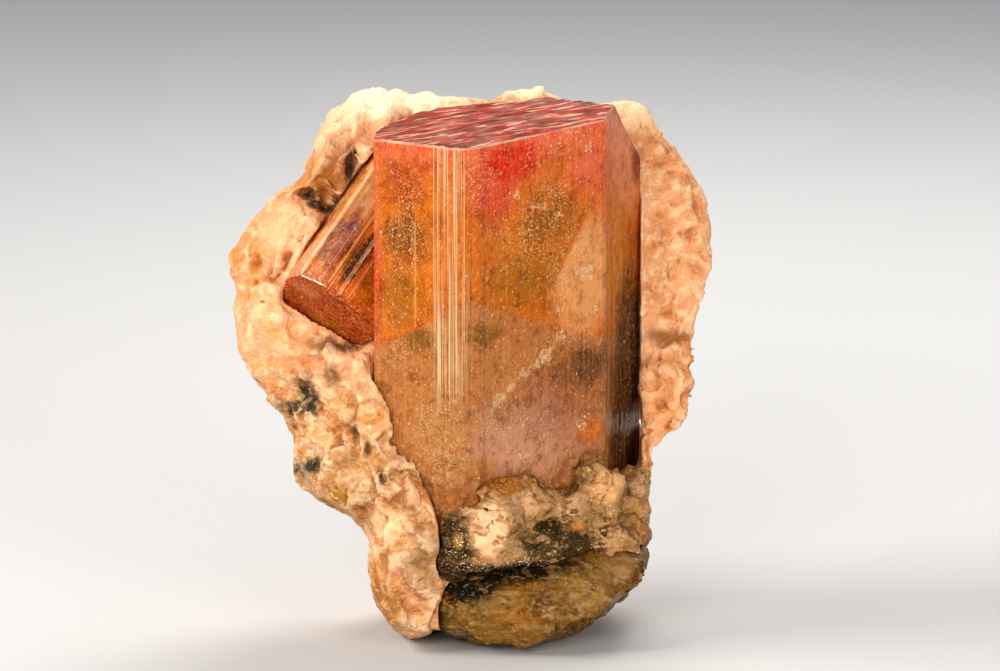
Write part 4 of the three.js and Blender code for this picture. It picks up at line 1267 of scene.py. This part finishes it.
# Colour spots on the feldspar's front: stains, with painted highlights, painted shade and a painted shadow
# where marked, laid on through its thickness, in a frame that leans with its front.
FELDSPAR_SPOTS = [
    # painted highlights on the lit top of the rock
    ((-10, 0, 67), (15, FAR, 6), (1.0, 0.84, 0.60), 0.8, 0.5, 0.95),
    ((9, 0, 69), (9, FAR, 5), (1.0, 0.80, 0.52), 0.7, 0.4, 0.95),
    ((20, 0, 65), (6, FAR, 4.5), (0.96, 0.68, 0.42), 0.8, 0.4, 0.9),
    ((-17, 0, 63), (4, FAR, 5), (0.90, 0.62, 0.40), 0.8, 0.6, 0.8),
    ((-22.6, 0, 48.6), (4.6, FAR, 5.4), (0.86, 0.48, 0.28), 0.7, 0.8, 0.6),
    # painted shade inside the recess
    ((-18.2, 0, 56.4), (3.6, FAR, 3.8), (0.46, 0.19, 0.035), 0.7, 1.0, 0.9),
    # painted shadow under the recess's overhang
    ((-15.0, 0, 57.8), (1.2, FAR, 3.8), (0.07, 0.026, 0.005), 0.9, 0.8, 0.95),
    ((-21.2, 0, 55.3), (1.8, FAR, 1.3), (0.62, 0.26, 0.05), 0.8, 1.0, 0.8),
    # painted shade: near-black in the crescent of pits
    ((-20.3, 0, 54.2), (1.4, FAR, 1.2), (0.02, 0.008, 0.003), 0.8, 0.5, 0.97),
    ((-19.3, 0, 53.1), (1.7, FAR, 1.2), (0.02, 0.008, 0.003), 0.8, 0.5, 0.97),
    ((-17.9, 0, 52.4), (2.0, FAR, 1.1), (0.02, 0.008, 0.003), 0.8, 0.5, 0.97),
    ((-16.8, 0, 53.2), (0.9, FAR, 1.5), (0.05, 0.018, 0.005), 0.8, 0.5, 0.9),
    # painted shade in the crease between the knob and the lobe
    ((-26.5, 0, 45.5), (1.6, FAR, 4.8), (0.60, 0.25, 0.055), 0.9, 1.2, 0.8),
    ((-30.2, 0, 46.4), (2.0, FAR, 3.0), (0.62, 0.23, 0.02), 0.8, 0.9, 0.9),
    ((-25.8, 0, 40.8), (0.5, FAR, 0.3), (0.10, 0.04, 0.01), 0.8, 0.8, 0.9),
    ((-24.0, 0, 37.0), (3.0, FAR, 2.0), (0.70, 0.33, 0.10), 0.9, 1.2, 0.7),
    ((-17.5, 0, 38.5), (4.0, FAR, 2.2), (0.46, 0.21, 0.05), 0.9, 1.2, 0.8),
    # painted shadow cast by the small prism
    ((-18.7, 0, 35.4), (3.2, FAR, 1.8), (0.20, 0.09, 0.018), 0.9, 1.4, 0.9),
    ((-15.6, 0, 35.2), (3.4, FAR, 1.6), (0.12, 0.05, 0.012), 0.9, 1.4, 0.9),
    ((-17.2, 0, 31.6), (1.7, FAR, 2.4), (0.14, 0.06, 0.014), 0.9, 1.4, 0.85),
    ((-20.6, 0, 30.2), (1.6, FAR, 2.8), NEAR_BLACK, 0.9, 1.6, 0.97),
    ((-19.8, 0, 28.4), (1.9, FAR, 3.2), NEAR_BLACK, 0.9, 1.8, 0.97),
    ((-21.4, 0, 27.4), (3.2, FAR, 1.9), NEAR_BLACK, 0.9, 2.2, 0.95),
    ((-21.0, 0, 25.8), (2.1, FAR, 1.5), (0.38, 0.13, 0.015), 0.9, 1.8, 0.92),
    # painted shade: near-black in two pits
    ((-14.3, 0, 24.9), (0.72, FAR, 2.2), NEAR_BLACK, 0.9, 1.2, 0.97),
    ((-12.7, 0, 22.6), (0.65, FAR, 1.6), NEAR_BLACK, 0.9, 1.2, 0.9),
    ((-20.1, 0, 20.4), (3.2, FAR, 2.2), NEAR_BLACK, 0.9, 2.2, 0.97),
    # painted shade: near-black in a pit
    ((-10.7, 0, 19.1), (1.6, FAR, 1.6), NEAR_BLACK, 0.9, 2.0, 0.97),
    ((-8.0, 0, 22.3), (1, FAR, 2), NEAR_BLACK, 0.9, 1.6, 0.85),
    ((-15.5, 0, 21), (3.0, FAR, 2.4), (0.52, 0.27, 0.07), 0.9, 1.4, 0.6),
    ((-16.3, 0, 16.3), (2.8, FAR, 1.5), (0.56, 0.31, 0.04), 0.9, 1.2, 0.85),
    ((-10.8, 0, 12.5), (4.6, FAR, 5.4), (0.84, 0.52, 0.29), 0.6, 0.6, 0.75),
    ((-5.6, 0, 9.1), (2.8, FAR, 3.2), (0.42, 0.28, 0.14), 0.8, 1.2, 0.75),
    ((-10.4, 0, 2.6), (4.6, FAR, 3.8), (0.46, 0.22, 0.04), 0.8, 1.2, 0.85),
    # painted shade in the groove at the right
    ((25, 0, 36.4), (5.5, FAR, 1.7), (0.30, 0.13, 0.045), 0.9, 1.2, 0.85),
    ((24.5, 0, 27), (5, FAR, 5.5), (0.78, 0.36, 0.15), 0.9, 0.8, 0.7),
]


def feldspar_ground(tree, position, wide, cleaved):
    """The feldspar's colour before its stains, with the tones of its broken blocks and chips."""
    ground = blended(tree, stepped(tree, wide, 0.38, 0.62), colour(*CREAM), colour(*PEACH))
    clear = times(tree, stepped(tree, mesh_mask(tree, "block_tone"), 0.40, 0.60), cleaved)
    ground = tinted(tree, ground, GREY_TAN, clear, 0.7)
    golden = times(tree, stepped(tree, mesh_mask(tree, "chip_tone"), 0.60, 0.66), cleaved)
    ground = tinted(tree, ground, (0.52, 0.24, 0.05), golden, 0.6)
    return placed(tree, MINERAL_GRAIN, {
        "Colour": ground, "Pale Colour": colour(0.98, 0.72, 0.50),
        "Dark Colour": colour(0.40, 0.17, 0.035), "Scale": 700.0, "Pale Share": 0.5, "Dark Share": 0.5,
    })


def feldspar():
    material, tree, principled = new_material(
        "cream_feldspar", Subsurface_Weight=0.1, Subsurface_Radius=(1.0, 0.5, 0.22),
        Subsurface_Scale=0.6 * MM, IOR=1.53, Specular_IOR_Level=0.35,
    )
    position = row_position(tree)
    wide = surface_noise(tree, position, 130.0, 6.0, 0.65)
    cleaved, hollow = mesh_mask(tree, "cleaved"), mesh_mask(tree, "hollow")
    grain = feldspar_ground(tree, position, wide, cleaved)
    leaning = shader(
        tree, "Mapping", {"Vector": position, "Rotation": (FRONT_LEAN, 0, 0)}, vector_type="POINT"
    ).outputs[0]
    ragged = surface_noise(tree, position, 750.0, 5.0, 0.65)
    tint = spotted(tree, grain["Colour"], leaning, ragged, FELDSPAR_SPOTS)
    # painted highlights and painted shade on the splinters of the broken faces, stronger where cleaved
    chipped = maths(tree, "ADD", 0.15, times(tree, cleaved, 0.55))
    lighter = times(tree, chipped, 0.6)
    splinters = shards(tree, position, (2.6, 1.6, 1.6))
    tint = splintered(tree, tint, splinters, chipped, lighter, (0.55, 0.44, 0.3), (0.98, 0.72, 0.45))
    patchy = stepped(tree, wide, 0.44, 0.56)
    stained = maths(tree, "MAXIMUM", stepped(tree, hollow, 0.55, 0.80), mesh_mask(tree, "crease"))
    tint = tinted(tree, tint, RUST, times(tree, stained, patchy), 0.75)
    # painted highlight: paler on the ridges, away from the hollows
    tint = tinted(tree, tint, (1, 0.76, 0.52), stepped(tree, hollow, 0.45, 0.2), 0.3)
    peppered = fleck_mask(tree, position, (0.35, 0.5, 0.4), 0.2, 0.24)
    tint = tinted(tree, tint, (0.30, 0.11, 0.015), times(tree, peppered, patchy), 0.6)
    finished(tree, principled, tint, stepped(tree, grain["Height"], 0.5, 1.6, 0.85, 0.5))
    bumped(tree, principled, grain["Height"], 0.8, 0.3)
    return material


OLIVE = (0.30, 0.15, 0.018)
FOOT_SPOTS = [
    ((5, -14, 5.0), (5.0, 9, 3), (0.50, 0.19, 0.012), 0.9, 1.2, 0.8),
    ((2.5, -14, 6.4), (3.2, 9, 2), (0.36, 0.23, 0.06), 0.9, 1.2, 0.7),
    ((13, -10, 7.0), (5.5, 9, 4), (0.56, 0.30, 0.09), 0.9, 1.0, 0.8),
    ((18, -8, 9.4), (4, 9, 3), (0.58, 0.35, 0.14), 0.9, 1.0, 0.8),
    ((-3.0, -14, 4.6), (1.4, 8, 2.4), (0.12, 0.09, 0.008), 0.8, 0.9, 0.85),
    ((-1.2, -14, 9.0), (5.6, 8, 3.0), (0.014, 0.009, 0.003), 0.4, 0.5, 0.98),
    ((5, -14, 10.6), (12, 9, 2.0), (0.016, 0.010, 0.003), 0.6, 0.5, 0.96),
]


def ragged_edges(tree, position, splinters, share, scale):
    """A cloud value that follows the splinters by this share."""
    cloud = times(tree, clouds(tree, position, scale), 1.0 - share)
    return maths(tree, "ADD", times(tree, splinters, share), cloud)


def olive_quartz():
    material, tree, principled = new_material(
        "olive_quartz", Transmission_Weight=0.42, IOR=1.54, Specular_IOR_Level=0.3,
        Specular_Tint=colour(0.45, 0.42, 0.38),
    )
    position = row_position(tree)
    veils = {
        "Colour": colour(*OLIVE), "Deep Colour": colour(0.35, 0.24, 0.10),
        "Light Colour": colour(0.70, 0.42, 0.15), "Position": position, "Scale": 260.0,
        "Deepening": 0.85, "Lightening": 0.5,
    }
    tint = placed(tree, CLOUDY_DEPTH, veils)["Colour"]
    splinters = shards(tree, position, (2.4, 2.0, 1.5))
    tint = spotted(
        tree, tint, position, ragged_edges(tree, position, splinters, 0.35, 360.0), FOOT_SPOTS
    )
    tint = splintered(tree, tint, splinters, 0.7, 0.2, (0.35, 0.26, 0.14), (0.85, 0.50, 0.17))
    tint = tinted(tree, tint, (0.66, 0.42, 0.18), stria(tree, position, (3.0, 1.5, 0.7))[0], 0.4)
    tint = tinted(
        tree, tint, (1.0, 0.78, 0.46), fleck_mask(tree, position, (0.2, 0.2, 0.2), 0.7, 0.26), 0.7
    )
    finished(tree, principled, tint, stepped(tree, splinters, 0.2, 0.8, 0.08, 0.42))
    bumped(tree, principled, splinters, 0.35, 0.2)
    return material


CRUST_SPOTS = [
    ((5.3, -12, 18.2), (5.6, 9, 2.2), (0.62, 0.36, 0.21), 0.7, 1.0, 0.8),
    ((5.6, -12, 14.2), (2.6, 8, 2.6), (0.30, 0.19, 0.09), 0.8, 1.0, 0.8),
    ((12.6, -8, 17.5), (3.0, 8, 1.7), (0.58, 0.36, 0.20), 0.7, 0.9, 0.85),
    ((17.2, -5, 19.2), (2.7, 8, 2.9), (0.76, 0.42, 0.20), 0.6, 0.7, 0.85),
    ((16.8, -5, 12.4), (3.2, 8, 3.8), (0.52, 0.30, 0.15), 0.5, 0.5, 0.9),
    ((21.0, 0, 13), (1.9, 8, 4.6), (0.66, 0.33, 0.10), 0.7, 0.6, 0.85),
    ((5.2, -11, 21.8), (7.6, 9, 2.4), (0.30, 0.11, 0.012), 0.5, 0.9, 0.95),
    ((9.7, -9, 22.0), (4.4, 9, 1.1), (0.26, 0.12, 0.03), 0.7, 0.9, 0.9),
    ((-2.2, -14, 13.4), (3.2, 8, 6.0), (0.045, 0.027, 0.007), 0.4, 0.8, 0.95),
    ((-1.5, -14, 14.8), (0.9, 8, 1.4), (0.36, 0.20, 0.05), 0.6, 0.8, 0.9),
    ((10.2, -9, 12.6), (7.4, 9, 4.4), (0.050, 0.032, 0.008), 0.4, 1.0, 0.96),
    ((13.3, -9, 15.0), (1.5, 8, 0.7), (0.56, 0.20, 0.03), 0.7, 0.8, 0.85),
    ((5, -14, 10.8), (11, 9, 1.5), (0.022, 0.012, 0.004), 0.7, 0.6, 0.95),
    ((12.2, -8, 20.4), (4.4, 8, 0.5), (0.06, 0.03, 0.01), 0.9, 1.2, 0.8),
    ((2.4, -15, 16.2), (2.7, 8, 4.2), (0.88, 0.54, 0.33), 0.3, 0.9, 0.97),
]


def crust():
    material, tree, principled = new_material(
        "pale_crust", IOR=1.53, Specular_IOR_Level=0.3, Specular_Tint=colour(0.6, 0.48, 0.32)
    )
    position = row_position(tree)
    grain = placed(tree, MINERAL_GRAIN, {
        "Colour": colour(0.34, 0.19, 0.075), "Pale Colour": colour(0.62, 0.40, 0.22),
        "Dark Colour": colour(0.14, 0.07, 0.015), "Scale": 600.0, "Pale Share": 0.6, "Dark Share": 0.6,
    })
    splinters = shards(tree, position, (2.6, 2.2, 1.7))
    edges = ragged_edges(tree, position, splinters, 0.5, 500.0)
    tint = spotted(tree, grain["Colour"], position, edges, CRUST_SPOTS)
    tint = splintered(tree, tint, splinters, 0.8, 0.3, (0.30, 0.22, 0.10), (0.92, 0.58, 0.36))
    # painted shade in the hollows
    tint = tinted(
        tree, tint, (0.10, 0.045, 0.012), stepped(tree, mesh_mask(tree, "hollow"), 0.6, 0.9), 0.6
    )
    tint = tinted(
        tree, tint, (0.95, 0.70, 0.46), fleck_mask(tree, position, (0.25, 0.25, 0.25), 0.3, 0.35), 0.45
    )
    # painted glints along the ledge and the column
    ledge = spot_mask(tree, position, edges, (4, -14, 11.4), (10, 9, 1.3), 0.8, 0.5)
    column = spot_mask(tree, position, edges, (-1.6, -14, 14.4), (2.4, 8, 3.6), 0.8, 0.5)
    glitter = fleck_mask(tree, position, (0.4, 0.25, 0.16), 0.1, 0.38)
    tint = tinted(tree, tint, (1.0, 0.88, 0.66), glitter, maths(tree, "MAXIMUM", ledge, column))
    finished(tree, principled, tint, stepped(tree, grain["Height"], 0.5, 1.6, 0.5, 0.15))
    bumped(tree, principled, maths(tree, "ADD", grain["Height"], splinters), 0.6, 0.2)
    return material


def bright_flake():
    material, tree, principled = new_material("bright_flake", Roughness=0.15, IOR=1.5)
    cloud = surface_noise(tree, row_position(tree), 700.0)
    finished(
        tree, principled,
        tinted(tree, colour(*SPARK), (1.0, 0.93, 0.80), stepped(tree, cloud, 0.4, 0.6))
    )
    return material


def veil_film(name, tint, thin, thick):
    """A film of tiny fluid inclusions, patchy and partly clear."""
    material, tree, principled = new_material(name, Roughness=0.35, IOR=1.33)
    position = row_position(tree)
    cloud = surface_noise(tree, position, 380.0, 6.0, 0.7)
    speckle = shader(tree, "TexVoronoi", {"Vector": position, "Scale": 1500.0}).outputs["Distance"]
    finished(
        tree, principled, tinted(tree, colour(1, 0.95, 0.85), tint, stepped(tree, speckle, 0.1, 0.5))
    )
    tree.links.new(stepped(tree, cloud, 0.45, 0.7, thin, thick), principled.inputs["Alpha"])
    return material


# Floor and lights
def pale_floor():
    """A wide flat floor, with nothing standing on it that could hide the specimen from any side."""
    half = 4000.0
    points = [(-half, -half, 0), (half, -half, 0), (half, half, 0), (-half, half, 0)]
    faces = [[0, 1, 2, 3]]
    floor = new_piece("floor", points, faces)
    material, tree, principled = new_material("pale_floor", Roughness=0.8)
    cloud = surface_noise(tree, row_position(tree), 6.0)
    tone = blended(tree, cloud, colour(0.54, 0.57, 0.61), colour(0.58, 0.61, 0.65))
    tree.links.new(tone, principled.inputs["Base Color"])
    floor.data.materials.append(material)


# Soft boxes: place, size and power in watts, warmth.
LIGHTS = {
    "top_left": ((-390, -60, 330), 200, 1.6, (1.0, 0.89, 0.78)),
    "behind": ((90, 260, 330), 200, 1.1, (1.0, 0.92, 0.82)),
    "front": ((-160, -500, 190), 260, 1.7, (1.0, 0.89, 0.77)),
    "right": ((300, -430, 160), 200, 1.1, (1.0, 0.90, 0.78)),
}


def lights():
    target = Vector(VIEW_CENTRE)
    for name, (place, size, power, tint) in LIGHTS.items():
        data = bpy.data.lights.new(name, "AREA")
        data.energy, data.size, data.color = power, size * MM, tint
        lamp = bpy.data.objects.new(name, data)
        bpy.context.scene.collection.objects.link(lamp)
        lamp.location = Vector(place) * MM
        lamp.rotation_euler = (target - Vector(place)).to_track_quat("-Z", "Y").to_euler()
    world = bpy.data.worlds.new("studio")
    bpy.context.scene.world = world
    world.use_nodes = True
    world.node_tree.nodes["Background"].inputs["Color"].default_value = (0.95, 0.97, 1.0, 1)
    world.node_tree.nodes["Background"].inputs["Strength"].default_value = 0.28


def render_look():
    scene = bpy.context.scene
    scene.view_settings.view_transform = "Standard"
    scene.view_settings.look = "Medium High Contrast"
    scene.cycles.use_denoising = True
    scene.cycles.max_bounces = 10
    scene.cycles.transmission_bounces = 10
    scene.cycles.transparent_max_bounces = 16


def build():
    for piece, material, *names in (
        (main_prism(), main_elbaite(), "main_elbaite", "main_crystal"),
        (side_prism(), side_elbaite(), "side_elbaite", "side_crystal"),
        (feldspar_rock(), feldspar(), "feldspar", "feldspar_matrix"),
        (quartz_foot(), olive_quartz(), "olive_quartz", "quartz_foot"),
        (pale_crust(), crust(), "crust", "pale_crust"),
        (flakes(), bright_flake(), "main_elbaite"),
    ):
        piece.data.materials.append(material)
        finish_piece(piece, *names)
    films = {
        "glinting_fracture": veil_film("glinting_film", (0.92, 0.66, 0.50), 0.05, 0.85),
        "upper_veil": veil_film("peach_film", (1.0, 0.70, 0.48), 0.05, 0.5),
    }
    for seed, (name, shape) in enumerate(VEILS.items()):
        sheet = veil(name, *shape, 200 + seed)
        sheet.data.materials.append(films[name])
        finish_piece(sheet, "main_elbaite")


build()
pale_floor()
lights()
render_look()
